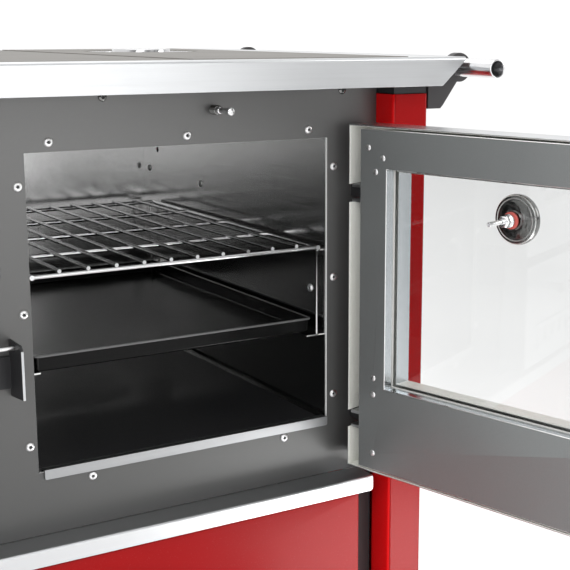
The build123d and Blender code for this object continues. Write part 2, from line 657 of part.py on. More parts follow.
tray_left = OVEN_LEFT + TRAY_SIDE_CLEARANCE
tray_right = LINER_RIGHT - TRAY_SIDE_CLEARANCE
tray_front = PANEL_Y + 17.3
tray_base = OVEN_Z + TRAY_BASE_ABOVE_FLOOR
with BuildPart() as oven_tray:
    block(BODY, (tray_left + TRAY_RIM, tray_right - TRAY_RIM),
          (tray_front + TRAY_RIM, tray_front + TRAY_LENGTH - TRAY_RIM), (tray_base, tray_base + TRAY_DEPTH))
    fillet(oven_tray.edges().filter_by(Axis.Z), TRAY_CORNER)
    fillet(oven_tray.faces().sort_by(Axis.Z)[0].edges(), 3.0)
    offset(amount=-TRAY_SHEET, openings=oven_tray.faces().sort_by(Axis.Z)[-1])
    with BuildSketch(BODY.offset(tray_base + TRAY_DEPTH - TRAY_RIM)) as rim:
        with Locations(((tray_left + tray_right) / 2, tray_front + TRAY_LENGTH / 2)):
            RectangleRounded(tray_right - tray_left, TRAY_LENGTH, TRAY_CORNER + TRAY_RIM)
            RectangleRounded(tray_right - tray_left - 2 * TRAY_RIM - TRAY_SHEET,
                             TRAY_LENGTH - 2 * TRAY_RIM - TRAY_SHEET, TRAY_CORNER - TRAY_SHEET / 2,
                             mode=Mode.SUBTRACT)
    extrude(rim.sketch, amount=TRAY_RIM)
save(oven_tray, "oven_tray")


# ---------------------------------------------------------------- doors
def door_pan(frame, width, height, sheet, window_x, window_z, notch_x, notches, spindle):
    """Folded outer pan with a returned window, hinge notches and a bored boss for the spindle."""
    with BuildPart() as pan:
        block(frame, (0, width), (0, DOOR_THICKNESS), height)
        upright = pan.edges().filter_by(Axis.Z)
        outer_upright = upright.group_by(Axis((0, 0, 0), heading(frame, (0, 1, 0))))[-1]
        fillet(outer_upright, sheet)
        block(frame, (sheet, width - sheet), (-1, DOOR_THICKNESS - sheet),
              (height[0] + sheet, height[1] - sheet), Mode.SUBTRACT)
        block(frame, (window_x[0] - sheet, window_x[1] + sheet),
              (GLASS_DEPTH + GLASS_THICKNESS, DOOR_THICKNESS),
              (window_z[0] - sheet, window_z[1] + sheet))
        block(frame, window_x, (GLASS_DEPTH, DOOR_THICKNESS + 1), window_z, Mode.SUBTRACT)
        for z in notches:
            block(frame, notch_x, (-1, PIN_DEPTH + 10), (z - NOTCH_HEIGHT / 2, z + NOTCH_HEIGHT / 2),
                  Mode.SUBTRACT)
        boss_start = (spindle[0], DOOR_THICKNESS - sheet, spindle[1])
        rod(frame, boss_start, BACK, ROSETTE_RADIUS, sheet + ROSETTE_THICKNESS)
        rod(frame, boss_start, BACK, SPINDLE_RADIUS + SPINDLE_FIT, 10, Mode.SUBTRACT)
        rod(frame, (spindle[0], 0, spindle[1]), BACK, SPINDLE_RADIUS + SPINDLE_FIT, DOOR_THICKNESS,
            Mode.SUBTRACT)
    return pan


def inner_frame(frame, x, z, window_x, window_z, rivets):
    """Flat inner frame with a return round its window."""
    with BuildPart() as inner:
        block(frame, x, (0, DOOR_SHEET), z)
        block(frame, (window_x[0] - DOOR_SHEET, window_x[1] + DOOR_SHEET), (0, GLASS_DEPTH - SEAL_THICKNESS),
              (window_z[0] - DOOR_SHEET, window_z[1] + DOOR_SHEET))
        block(frame, window_x, (-1, GLASS_DEPTH), window_z, Mode.SUBTRACT)
        for rivet_x, rivet_z in rivets:
            rod(frame, (rivet_x, -1, rivet_z), BACK, RIVET_RADIUS + 0.1, 5, Mode.SUBTRACT)
    return inner


def glass_pane(frame, window_x, window_z, bore=None):
    """Pane that laps the window all round, with a hole where something passes through."""
    with BuildPart() as pane:
        block(frame, (window_x[0] - GLASS_LAP, window_x[1] + GLASS_LAP),
              (GLASS_DEPTH, GLASS_DEPTH + GLASS_THICKNESS),
              (window_z[0] - GLASS_LAP, window_z[1] + GLASS_LAP))
        if bore:
            rod(frame, (bore[0], GLASS_DEPTH - 1, bore[1]), BACK, bore[2], GLASS_THICKNESS + 2,
                Mode.SUBTRACT)
    return pane


def hinge_brackets(frame, pin_x, inward, stile, heights, plates, rivets):
    """Riveted plate behind the inner frame with two cheeks and a pin at each hinge."""
    cheek_gap = LUG_THICKNESS / 2 + 0.5
    cheek_sheet = 3.0
    stile_reach = HINGE_CHANNEL - PIN_FROM_EDGE + stile - 4.0
    plate_x = sorted((pin_x + inward * 11.5, pin_x + inward * stile_reach))
    cheek_x = sorted((pin_x - inward * 6.0, pin_x + inward * (stile_reach - 8.0)))
    with BuildPart() as brackets:
        for z, plate_z in zip(heights, plates):
            block(frame, plate_x, (DOOR_SHEET, DOOR_SHEET + cheek_sheet), plate_z)
            for side in (-1, 1):
                near = z + side * cheek_gap
                cheek_z = sorted((near, near + side * cheek_sheet))
                block(frame, cheek_x, (DOOR_SHEET + 2.0, PIN_DEPTH + 7.0), cheek_z)
                block(frame, plate_x, (DOOR_SHEET, DOOR_SHEET + cheek_sheet), cheek_z)
        for rivet_x, rivet_z in rivets:
            rod(frame, (rivet_x, 0, rivet_z), BACK, RIVET_RADIUS + 0.1, 6, Mode.SUBTRACT)
        for z in heights:
            half = cheek_gap + cheek_sheet
            rod(frame, (pin_x, PIN_DEPTH, z - half - 2), UP, PIN_RADIUS, 2 * half + 4)
            with BuildSketch(frame.offset(z + half)) as head:
                with Locations((pin_x, PIN_DEPTH)):
                    Circle(PIN_RADIUS + 1.5)
            extrude(head.sketch, amount=2.5)
    return brackets


oven_window_x = (HINGE_CHANNEL + STILE - 0.2, DOOR_WIDTH - LATCH_CHANNEL - 19.6)
oven_frame_z = (DOOR_Z + FRAME_INSET, DOOR_TOP - FRAME_INSET - 0.5)
oven_window_z = (oven_frame_z[0] + BOTTOM_RAIL, oven_frame_z[1] - TOP_RAIL)
oven_spindle = (DOOR_WIDTH - SPINDLE_FROM_EDGE, DOOR_Z + LATCH_ABOVE_EDGE)
oven_hinges = (DOOR_Z + OVEN_HINGE_LOW, DOOR_Z + OVEN_HINGE_HIGH)
PAN_WINDOW_INSET = 3.5
oven_pan_x = (oven_window_x[0] + PAN_WINDOW_INSET, oven_window_x[1] - PAN_WINDOW_INSET)
oven_pan_z = (oven_window_z[0] + PAN_WINDOW_INSET, oven_window_z[1] - PAN_WINDOW_INSET)

oven_rivets = [(27.5, oven_hinges[1] + 50.4), (47.9, oven_hinges[1] + 40.4), (37.9, oven_hinges[1] + 25.4)]
oven_rivets += [(37.1, oven_hinges[0] + 53.5), (37.1, oven_hinges[0] + 35.0), (37.0, oven_hinges[0] - 31.7)]
oven_bracket_spans = (
    (oven_hinges[0] - 39.5, oven_hinges[0] + 61.5),
    (oven_hinges[1] - 14.0, oven_hinges[1] + 57.0),
)

oven_notch = (-1, DOOR_SHEET)
save(door_pan(OVEN_DOOR, DOOR_WIDTH, (DOOR_Z, DOOR_TOP), DOOR_SHEET, oven_pan_x, oven_pan_z, oven_notch,
              oven_hinges, oven_spindle), "oven_door_pan")
save(inner_frame(OVEN_DOOR, (HINGE_CHANNEL, DOOR_WIDTH - LATCH_CHANNEL), oven_frame_z, oven_window_x,
                 oven_window_z, oven_rivets), "oven_door_frame")
thermo_z = DOOR_Z + THERMO_ABOVE_EDGE
STEM_FIT = 0.5
save(glass_pane(OVEN_DOOR, oven_window_x, oven_window_z, (THERMO_ALONG, thermo_z, STEM_RADIUS + STEM_FIT)),
     "oven_door_glass")
save(hinge_brackets(OVEN_DOOR, PIN_FROM_EDGE, 1, STILE, oven_hinges, oven_bracket_spans, oven_rivets),
     "oven_hinge_brackets")

with BuildPart() as oven_glass_seal:
    seal_y = (GLASS_DEPTH - SEAL_THICKNESS, GLASS_DEPTH)
    seal_lap = 4.0
    block(OVEN_DOOR, (oven_window_x[0] - seal_lap, oven_window_x[1] + seal_lap), seal_y,
          (oven_window_z[0] - seal_lap, oven_window_z[1] + seal_lap))
    block(OVEN_DOOR, (oven_window_x[0] + 1, oven_window_x[1] - 1), (0, 20),
          (oven_window_z[0] + 1, oven_window_z[1] - 1), Mode.SUBTRACT)
save(oven_glass_seal, "oven_glass_seal")

with BuildPart() as oven_door_rivets:
    for rivet_x, rivet_z in oven_rivets:
        rod(OVEN_DOOR, (rivet_x, 0, rivet_z), BACK, RIVET_RADIUS, 6)
        with BuildSketch(facing(OVEN_DOOR, (rivet_x, 0, rivet_z), OUT)) as head:
            Circle(RIVET_HEAD)
        extrude(head.sketch, amount=RIVET_DOME, taper=30)
        rod(OVEN_DOOR, (rivet_x, DOOR_SHEET + 3.0, rivet_z), BACK, 2.4, 1.6)
save(oven_door_rivets, "oven_door_rivets")


def hinge_lug(pin_x, z):
    """Lug on the front panel with the eye for a door's hinge pin."""
    pin_y = PANEL_Y - DOOR_GAP - PIN_DEPTH
    bottom = z - LUG_THICKNESS / 2
    with BuildSketch(BODY.offset(bottom)) as lug:
        with Locations((pin_x, (pin_y + PANEL_Y) / 2)):
            Rectangle(LUG_WIDTH, PANEL_Y - pin_y)
        with Locations((pin_x, pin_y)):
            Circle(LUG_EYE)
            Circle(PIN_RADIUS + PIN_FIT, mode=Mode.SUBTRACT)
    extrude(lug.sketch, amount=LUG_THICKNESS)


fire_hinges = (FIRE_Z + FIRE_HINGE_LOW, FIRE_Z + FIRE_HINGE_HIGH)
with BuildPart() as hinge_lugs:
    for z in oven_hinges:
        hinge_lug(OVEN_PIN_X, z)
    for z in fire_hinges:
        hinge_lug(FIRE_PIN_X, z)
save(hinge_lugs, "hinge_lugs")

fire_spindle = (SPINDLE_FROM_EDGE, FIRE_Z + FIRE_LATCH_HEIGHT)
FIRE_STILE = 24.0
fire_frame_x = (LATCH_CHANNEL, FIRE_WIDTH - HINGE_CHANNEL)
fire_frame_z = (FIRE_Z + FRAME_INSET, FIRE_TOP - FRAME_INSET - 0.5)
fire_window_x = (fire_frame_x[0] + FIRE_STILE, fire_frame_x[1] - FIRE_STILE)
fire_window_z = (fire_frame_z[0] + 60.0, fire_frame_z[1] - TOP_RAIL)
fire_pan_x = (fire_window_x[0] + PAN_WINDOW_INSET, fire_window_x[1] - PAN_WINDOW_INSET)
fire_pan_z = (fire_window_z[0] + PAN_WINDOW_INSET, fire_window_z[1] - PAN_WINDOW_INSET)
fire_notch = (FIRE_WIDTH - DOOR_SHEET, FIRE_WIDTH + 1)
FIRE_BRACKET_OUTER = 22.0
FIRE_BRACKET_INNER = 28.0  # towards the door's middle
fire_bracket_spans = (
    (fire_hinges[0] - FIRE_BRACKET_OUTER, fire_hinges[0] + FIRE_BRACKET_INNER),
    (fire_hinges[1] - FIRE_BRACKET_INNER, fire_hinges[1] + FIRE_BRACKET_OUTER),
)

save(door_pan(FIRE_DOOR, FIRE_WIDTH, (FIRE_Z, FIRE_TOP), DOOR_SHEET, fire_pan_x, fire_pan_z, fire_notch,
              fire_hinges, fire_spindle), "fire_door_pan")
save(inner_frame(FIRE_DOOR, fire_frame_x, fire_frame_z, fire_window_x, fire_window_z, []), "fire_door_frame")
save(glass_pane(FIRE_DOOR, fire_window_x, fire_window_z), "fire_door_glass")
save(hinge_brackets(FIRE_DOOR, FIRE_WIDTH - PIN_FROM_EDGE, -1, FIRE_STILE, fire_hinges,
                    fire_bracket_spans, []), "fire_hinge_brackets")


# ---------------------------------------------------------------- latches
def latch_spindle(frame, spindle, tongue):
    """Spindle through the door with its tongue, drawn in the pose given by the tongue's direction."""
    x, z = spindle
    with BuildPart() as shaft:
        rod(frame, (x, TONGUE_DEPTH, z), BACK, SPINDLE_RADIUS, DOOR_THICKNESS - TONGUE_DEPTH + 10)
        reach = (TONGUE_LENGTH * tongue[0], TONGUE_LENGTH * tongue[1])
        wide = TONGUE_WIDTH / 2
        if tongue[1]:
            span_x = (x - wide, x + wide)
            span_z = sorted((z, z + reach[1]))
        else:
            span_x = sorted((x, x + reach[0]))
            span_z = (z - wide, z + wide)
        block(frame, span_x, (TONGUE_DEPTH, TONGUE_DEPTH + TONGUE_THICKNESS), span_z)
    return shaft


def handle_grip(frame, spindle, upright):
    """Bar grip on a neck that takes the spindle's end."""
    x, z = spindle
    start = DOOR_THICKNESS + ROSETTE_THICKNESS + 0.3
    middle = DOOR_THICKNESS + GRIP_STANDOFF
    with BuildPart() as grip:
        rod(frame, (x, start, z), BACK, GRIP_RADIUS + 0.5, middle - start)
        if upright:
            rod(frame, (x, middle, z - GRIP_LENGTH / 2), UP, GRIP_RADIUS, GRIP_LENGTH)
        else:
            rod(frame, (x - GRIP_LENGTH / 2, middle, z), RIGHT, GRIP_RADIUS, GRIP_LENGTH)
        ends = grip.faces().filter_by(GeomType.PLANE).sort_by(SortBy.AREA)
        round_ends = [face for face in ends if abs(face.area - pi * GRIP_RADIUS ** 2) < 1.0]
        fillet([edge for face in round_ends for edge in face.edges()], 3.0)
        rod(frame, (x, start - 1, z), BACK, SPINDLE_RADIUS + 0.02, DOOR_THICKNESS + 10.1 - start + 1,
            Mode.SUBTRACT)
    return grip


save(latch_spindle(OVEN_DOOR, oven_spindle, (1, 0)), "oven_latch_spindle")
save(handle_grip(OVEN_DOOR, oven_spindle, False), "oven_handle_grip")
save(latch_spindle(FIRE_DOOR, fire_spindle, (-1, 0)), "fire_latch_spindle")
save(handle_grip(FIRE_DOOR, fire_spindle, False), "fire_handle_grip")

with BuildPart() as door_keepers:
    keeper_places = (
        (OVEN_DOOR_CLOSED, oven_spindle, -1),
        (FIRE_DOOR, fire_spindle, 1),
    )
    for frame, spindle, inward in keeper_places:
        plate_x = spindle[0] + inward * KEEPER_FROM_SPINDLE
        base_z = spindle[1] + KEEPER_PIN_UP + KEEPER_PIN_RADIUS + KEEPER_OVER_PIN - KEEPER_HEIGHT
        panel_y = -DOOR_GAP
        flange_x = sorted((plate_x, plate_x - inward * KEEPER_FLANGE))
        tip = [
            (panel_y, base_z), (panel_y + KEEPER_REACH, base_z + 4.0),
            (panel_y + KEEPER_REACH, base_z + KEEPER_HEIGHT - KEEPER_CORNER),
            (panel_y + KEEPER_REACH - KEEPER_CORNER, base_z + KEEPER_HEIGHT),
            (panel_y, base_z + KEEPER_HEIGHT),
        ]
        x_heading = heading(frame, (1, 0, 0))
        cheek = Plane(origin=frame.from_local_coords((plate_x - KEEPER_SHEET / 2, 0, 0)),
                      x_dir=heading(frame, (0, 1, 0)), z_dir=x_heading)
        prism(cheek, tip, KEEPER_SHEET)
        block(frame, flange_x, (panel_y, panel_y + KEEPER_SHEET),
              (base_z + 8.0, base_z + KEEPER_HEIGHT - 16.0))
        rod(frame, (plate_x - 3, panel_y + KEEPER_PIN_OUT, spindle[1] + KEEPER_PIN_UP), RIGHT,
            KEEPER_PIN_RADIUS + 0.05, 6, Mode.SUBTRACT)
save(door_keepers, "door_keepers")

with BuildPart() as keeper_pins:
    for frame, spindle, inward in keeper_places:
        start_x = spindle[0] + inward * (KEEPER_FROM_SPINDLE + 2.0)
        along = LEFT if inward > 0 else RIGHT
        rod(frame, (start_x, KEEPER_PIN_OUT - DOOR_GAP, spindle[1] + KEEPER_PIN_UP), along,
            KEEPER_PIN_RADIUS, KEEPER_PIN_LENGTH)
save(keeper_pins, "keeper_pins")

# ---------------------------------------------------------------- thermometer
GLASS_FACE = GLASS_DEPTH + GLASS_THICKNESS
disc_y = GLASS_FACE + THERMO_BOSS
dish_y = disc_y + THERMO_FLOOR
rim_y = GLASS_FACE + THERMO_DEPTH


def on_dial(y, radius, length, mode=Mode.ADD):
    """Round bar on the thermometer's axis from a depth in the oven door."""
    rod(OVEN_DOOR, (THERMO_ALONG, y, thermo_z), BACK, radius, length, mode)


with BuildPart() as thermometer_case:
    on_dial(GLASS_FACE, 14.0, THERMO_BOSS)
    on_dial(disc_y, THERMO_RADIUS - 1.0, THERMO_FLOOR)
    on_dial(dish_y, THERMO_RADIUS, rim_y - dish_y)
    on_dial(dish_y, THERMO_RADIUS - THERMO_WALL, THERMO_DEPTH, Mode.SUBTRACT)
    on_dial(GLASS_FACE - 1, STEM_RADIUS, THERMO_DEPTH, Mode.SUBTRACT)
save(thermometer_case, "thermometer_case")

with BuildPart() as thermometer_washer:
    on_dial(GLASS_DEPTH - WASHER_THICKNESS, WASHER_RADIUS, WASHER_THICKNESS)
    on_dial(GLASS_DEPTH - WASHER_THICKNESS - 1, STEM_RADIUS, WASHER_THICKNESS + 2, Mode.SUBTRACT)
save(thermometer_washer, "thermometer_washer")

nut_start = (THERMO_ALONG, GLASS_DEPTH - WASHER_THICKNESS, thermo_z)
with BuildPart() as thermometer_nut:
    with BuildSketch(facing(OVEN_DOOR, nut_start, OUT)) as hexagon:
        RegularPolygon(NUT_RADIUS, 6)
        Circle(STEM_RADIUS, mode=Mode.SUBTRACT)
    extrude(hexagon.sketch, amount=NUT_LENGTH)
save(thermometer_nut, "thermometer_nut")

with BuildPart() as thermometer_stem:
    on_dial(GLASS_DEPTH - STEM_REACH, STEM_RADIUS, STEM_REACH + dish_y + 0.4 - GLASS_DEPTH)
save(thermometer_stem, "thermometer_stem")

HUB_RADIUS = 2.5
HUB_THICKNESS = 1.1
NEEDLE_THICKNESS = 0.5
pointer_y = dish_y + 0.8
with BuildPart() as thermometer_pointer:
    on_dial(pointer_y, HUB_RADIUS, HUB_THICKNESS)
    needle = [(-0.9, -6.0), (0.9, -6.0), (0.3, 18.0), (-0.3, 18.0)]
    across = (-cos(radians(POINTER_REST)), 0, sin(radians(POINTER_REST)))
    needle_plane = Plane(origin=OVEN_DOOR.from_local_coords((THERMO_ALONG, pointer_y + 0.3, thermo_z)),
                         x_dir=heading(OVEN_DOOR, across), z_dir=heading(OVEN_DOOR, (0, 1, 0)))
    prism(needle_plane, needle, NEEDLE_THICKNESS)
save(thermometer_pointer, "thermometer_pointer")

LENS_FROM_RIM = 3.0
LENS_THICKNESS = 1.5
with BuildPart() as thermometer_lens:
    on_dial(rim_y - LENS_FROM_RIM, THERMO_RADIUS - THERMO_WALL - 0.02, LENS_THICKNESS)
save(thermometer_lens, "thermometer_lens")

# ---------------------------------------------------------------- firebox
pit_z = ASH_PAN_Z - SEAT_GAP
with BuildPart() as firebox_casing:
    wall = CASING_SHEET
    casing_x = (CASING_LEFT, CASING_RIGHT)
    outer_x = (CASING_LEFT - wall, CASING_RIGHT + wall)
    block(BODY, outer_x, (PANEL_REAR, CASING_REAR + wall), (pit_z - wall, RAIL_TOP - 4.0))
    block(BODY, casing_x, (PANEL_REAR - 1, CASING_REAR), (SHELF_Z, RAIL_TOP), Mode.SUBTRACT)
    block(BODY, casing_x, (PANEL_REAR - 1, CASING_REAR), (pit_z, SHELF_Z - wall), Mode.SUBTRACT)
    inner_left = CASING_LEFT + BRICK_THICKNESS
    inner_right = CASING_RIGHT - BRICK_THICKNESS
    block(BODY, (inner_left + 14, inner_right - 14), (PANEL_REAR + 66, 120), (SHELF_Z - 8, SHELF_Z + 1),
          Mode.SUBTRACT)
    block(BODY, (CASING_RIGHT - 1, CASING_RIGHT + wall + 1), (PANEL_REAR + 20, CASING_REAR - 20),
          (OVEN_TOP + 6.0, RAIL_TOP), Mode.SUBTRACT)
    block(BODY, (outer_x[0] - 1, outer_x[1] + 1), (PANEL_REAR - 1, PANEL_REAR + RAIL_SHEET + JOIN_GAP),
          (COLUMN_TOP, RAIL_TOP), Mode.SUBTRACT)
save(firebox_casing, "firebox_casing")

brick_z = (SHELF_Z, SHELF_Z + BRICK_HEIGHT)
with BuildPart() as firebricks:
    block(BODY, (CASING_LEFT + SEAT_GAP, inner_left), (PANEL_REAR + 10, 160), brick_z)
    block(BODY, (inner_right, CASING_RIGHT - SEAT_GAP), (PANEL_REAR + 10, 160), brick_z)
    block(BODY, (CASING_LEFT + SEAT_GAP, CASING_RIGHT - SEAT_GAP), (163, CASING_REAR - SEAT_GAP), brick_z)
save(firebricks, "firebricks")

SLOT_PITCH = 16.0
SLOT_WIDTH = 8.0
SLOT_MARGIN = 14.0
with BuildPart() as grate:
    grate_x = (inner_left + 3, inner_right - 3)
    grate_y = (PANEL_REAR + 56, 130)
    block(BODY, grate_x, grate_y, (SHELF_Z, SHELF_Z + GRATE_THICKNESS))
    slots = int((grate_y[1] - grate_y[0] - 20) // SLOT_PITCH)
    for index in range(slots):
        y = grate_y[0] + SLOT_MARGIN + index * SLOT_PITCH
        block(BODY, (grate_x[0] + SLOT_MARGIN, grate_x[1] - SLOT_MARGIN), (y, y + SLOT_WIDTH),
              (SHELF_Z - 1, SHELF_Z + GRATE_THICKNESS + 1), Mode.SUBTRACT)
save(grate, "grate")

ASH_FRONT = Plane(origin=(0, PANEL_Y - DOOR_GAP, 0), x_dir=(-1, 0, 0), z_dir=(0, 0, 1))
slide_z = (ASH_TOP + ASH_Z) / 2 - 34.0
AIR_SLOTS = 4
AIR_PITCH = 30.0
AIR_SLOT = 12.0
slot_starts = [-FIRE_MIDDLE - AIR_PITCH * (AIR_SLOTS / 2 - index) + 2 for index in range(AIR_SLOTS)]
with BuildPart() as ash_drawer_front:
    block(ASH_FRONT, (-FIRE_RIGHT, -FIRE_LEFT), (0, DOOR_THICKNESS), (ASH_Z, ASH_TOP))
    block(ASH_FRONT, (-FIRE_RIGHT + DOOR_SHEET, -FIRE_LEFT - DOOR_SHEET), (-1, DOOR_THICKNESS - DOOR_SHEET),
          (ASH_Z + DOOR_SHEET, ASH_TOP - DOOR_SHEET), Mode.SUBTRACT)
    for x in slot_starts:
        block(ASH_FRONT, (x, x + AIR_SLOT), (DOOR_THICKNESS - 5, DOOR_THICKNESS + 1),
              (slide_z - 10, slide_z + 10), Mode.SUBTRACT)
    guide_x = (-FIRE_MIDDLE - 85, -FIRE_MIDDLE + 85)
    for side in (-1, 1):
        near = slide_z + side * 16.3
        guide_z = sorted((near, near + side * 3))
        lip_z = sorted((near - side * 3, near + side * 3))
        block(ASH_FRONT, guide_x, (DOOR_THICKNESS, DOOR_THICKNESS + 4), guide_z)
        block(ASH_FRONT, guide_x, (DOOR_THICKNESS + 2.6, DOOR_THICKNESS + 4), lip_z)
    bar_z = ASH_TOP - 34.0
    for side in (-1, 1):
        rod(ASH_FRONT, (-FIRE_MIDDLE + side * 60, DOOR_THICKNESS - DOOR_SHEET, bar_z), BACK, 5.0, 36)
    rod(ASH_FRONT, (-FIRE_MIDDLE - 75, DOOR_THICKNESS + 32, bar_z), RIGHT, 6.0, 150)
save(ash_drawer_front, "ash_drawer_front")

with BuildPart() as air_slider:
    block(ASH_FRONT, (-FIRE_MIDDLE - 78, -FIRE_MIDDLE + 62), (DOOR_THICKNESS + 0.3, DOOR_THICKNESS + 2.3),
          (slide_z - 16, slide_z + 16))
    for x in slot_starts:
        block(ASH_FRONT, (x, x + AIR_SLOT), (DOOR_THICKNESS, DOOR_THICKNESS + 3),
              (slide_z - 10, slide_z + 10), Mode.SUBTRACT)
    rod(ASH_FRONT, (-FIRE_MIDDLE + 54, DOOR_THICKNESS + 2, slide_z), BACK, 4.0, 12)
    rod(ASH_FRONT, (-FIRE_MIDDLE + 54, DOOR_THICKNESS + 12, slide_z), BACK, 7.0, 8)
save(air_slider, "air_slider")

with BuildPart() as ash_pan:
    pan_x = (-CASING_RIGHT + ASH_RUNNING, -CASING_LEFT - ASH_RUNNING)
    block(ASH_FRONT, (-FIRE_RIGHT + DOOR_SHEET + SEAT_GAP, -FIRE_LEFT - DOOR_SHEET - SEAT_GAP),
          (0, DOOR_SHEET), (ASH_Z + DOOR_SHEET + SEAT_GAP, ASH_TOP - DOOR_SHEET - SEAT_GAP))
    rear = -(DOOR_GAP + PANEL_SHEET + 420.0)
    block(ASH_FRONT, pan_x, (rear, 0), (ASH_PAN_Z, ASH_PAN_TOP))
    block(ASH_FRONT, (pan_x[0] + 1.5, pan_x[1] - 1.5), (rear + 1.5, 0), (ASH_PAN_Z + 1.5, ASH_PAN_TOP + 1),
          Mode.SUBTRACT)
save(ash_pan, "ash_pan")

# ---------------------------------------------------------------- wood drawer
with BuildPart() as wood_drawer_front:
    block(BODY, (-DRAWER_HALF, DRAWER_HALF), (DRAWER_Y, DRAWER_Y + DRAWER_FRONT_DEPTH),
          (DRAWER_Z, DRAWER_TOP))
    front_face_edges = wood_drawer_front.faces().sort_by(Axis.Y)[0].edges()
    fillet(front_face_edges, 1.5)
    fold = 1.5
    flange = 22.0
    block(BODY, (-DRAWER_HALF + fold, DRAWER_HALF - fold),
          (DRAWER_Y + fold, DRAWER_Y + DRAWER_FRONT_DEPTH - fold), (DRAWER_Z + fold, DRAWER_TOP - fold),
          Mode.SUBTRACT)
    block(BODY, (-DRAWER_HALF + flange, DRAWER_HALF - flange),
          (DRAWER_Y + fold, DRAWER_Y + DRAWER_FRONT_DEPTH + 1), (DRAWER_Z + flange, DRAWER_TOP - flange),
          Mode.SUBTRACT)
    HANDLE_Z = DRAWER_TOP - 66.0
    HANDLE_POSTS = 90.0
    for side in (-1, 1):
        rod(BODY, (side * HANDLE_POSTS, DRAWER_Y - 1, HANDLE_Z), BACK, 3.2, 4, Mode.SUBTRACT)
save(wood_drawer_front, "wood_drawer_front")

box_half = DRAWER_HALF + 2.0 - 6.0
box_front = DRAWER_Y + DRAWER_FRONT_DEPTH + SEAT_GAP
box_z = (RUNNER_Z + SEAT_GAP, RUNNER_Z + SEAT_GAP + DRAWER_BOX_HEIGHT)
with BuildPart() as wood_drawer_box:
    block(BODY, (-box_half, box_half), (box_front, box_front + DRAWER_BOX_DEPTH), box_z)
    block(BODY, (-box_half + DRAWER_SHEET, box_half - DRAWER_SHEET),
          (box_front + DRAWER_SHEET, box_front + DRAWER_BOX_DEPTH - DRAWER_SHEET),
          (box_z[0] + DRAWER_SHEET, box_z[1] + 1), Mode.SUBTRACT)
save(wood_drawer_box, "wood_drawer_box")

with BuildPart() as wood_drawer_handle:
    for side in (-1, 1):
        rod(BODY, (side * HANDLE_POSTS, DRAWER_Y, HANDLE_Z), OUT, 6.0, 34)
        rod(BODY, (side * HANDLE_POSTS, DRAWER_Y, HANDLE_Z), BACK, 3.0, 6)
    rod(BODY, (-HANDLE_POSTS - 25, DRAWER_Y - 34, HANDLE_Z), RIGHT, 7.0, 2 * HANDLE_POSTS + 50)
save(wood_drawer_handle, "wood_drawer_handle")

# ---------------------------------------------------------------- cooktop
REBATE_Z = TOP_Z - PLATE_THICKNESS / 2
with BuildPart() as cooktop_left_plate:
    block(BODY, (-PLATES_HALF, SEAM_X - PLATE_GAP), (PLATES_FRONT, PLATES_REAR), (PLATE_BOTTOM, TOP_Z))
    rod(BODY, (FIRE_MIDDLE, RING_Y, REBATE_Z), UP, RING_RADIUS, 10, Mode.SUBTRACT)
    rod(BODY, (FIRE_MIDDLE, RING_Y, PLATE_BOTTOM - 1), UP, RING_RADIUS - LID_REBATE, 10, Mode.SUBTRACT)
save(cooktop_left_plate, "cooktop_left_plate")

with BuildPart() as cooktop_right_plate:
    block(BODY, (SEAM_X + PLATE_GAP, PLATES_HALF), (PLATES_FRONT, PLATES_REAR),
          (PLATE_BOTTOM, TOP_Z + PLATE_STEP))
    rod(BODY, (OUTLET_X, OUTLET_Y, REBATE_Z), UP, OUTLET_RADIUS, 10, Mode.SUBTRACT)
    rod(BODY, (OUTLET_X, OUTLET_Y, PLATE_BOTTOM - 1), UP, OUTLET_RADIUS - LID_REBATE, 10, Mode.SUBTRACT)
save(cooktop_right_plate, "cooktop_right_plate")


def stepped_disc(x, y, radius, gap):
    """Disc that drops into a rebated hole: a wide top on a narrower lower step."""
    rod(BODY, (x, y, REBATE_Z), UP, radius - gap, TOP_Z - REBATE_Z)
    rod(BODY, (x, y, PLATE_BOTTOM), UP, radius - LID_REBATE - gap, REBATE_Z - PLATE_BOTTOM)


with BuildPart() as hotplate_ring:
    stepped_disc(FIRE_MIDDLE, RING_Y, RING_RADIUS, LIFT_CLEARANCE)
    rod(BODY, (FIRE_MIDDLE, RING_Y, REBATE_Z), UP, LID_RADIUS, 10, Mode.SUBTRACT)
    rod(BODY, (FIRE_MIDDLE, RING_Y, PLATE_BOTTOM - 1), UP, LID_RADIUS - LID_REBATE, 10, Mode.SUBTRACT)
save(hotplate_ring, "hotplate_ring")

with BuildPart() as hotplate_lid:
    stepped_disc(FIRE_MIDDLE, RING_Y, LID_RADIUS, LIFT_CLEARANCE)
    block(BODY, (FIRE_MIDDLE - 16, FIRE_MIDDLE + 16), (RING_Y - 44, RING_Y - 34), (TOP_Z - 3.5, TOP_Z + 1),
          Mode.SUBTRACT)
    block(BODY, (FIRE_MIDDLE - 6, FIRE_MIDDLE + 6), (RING_Y - 44, RING_Y - 26), (TOP_Z - 3.5, TOP_Z + 1),
          Mode.SUBTRACT)
save(hotplate_lid, "hotplate_lid")

with BuildPart() as outlet_cover:
    stepped_disc(OUTLET_X, OUTLET_Y, OUTLET_RADIUS, COVER_GAP)
    rod(BODY, (OUTLET_X, OUTLET_Y, TOP_Z - COVER_DISH), UP, COVER_DISH_RADIUS, 10, Mode.SUBTRACT)
    rod(BODY, (OUTLET_X, OUTLET_Y, TOP_Z - COVER_DISH), UP, COVER_BOSS_RADIUS, COVER_DISH + COVER_BOSS_RISE)
save(outlet_cover, "outlet_cover")

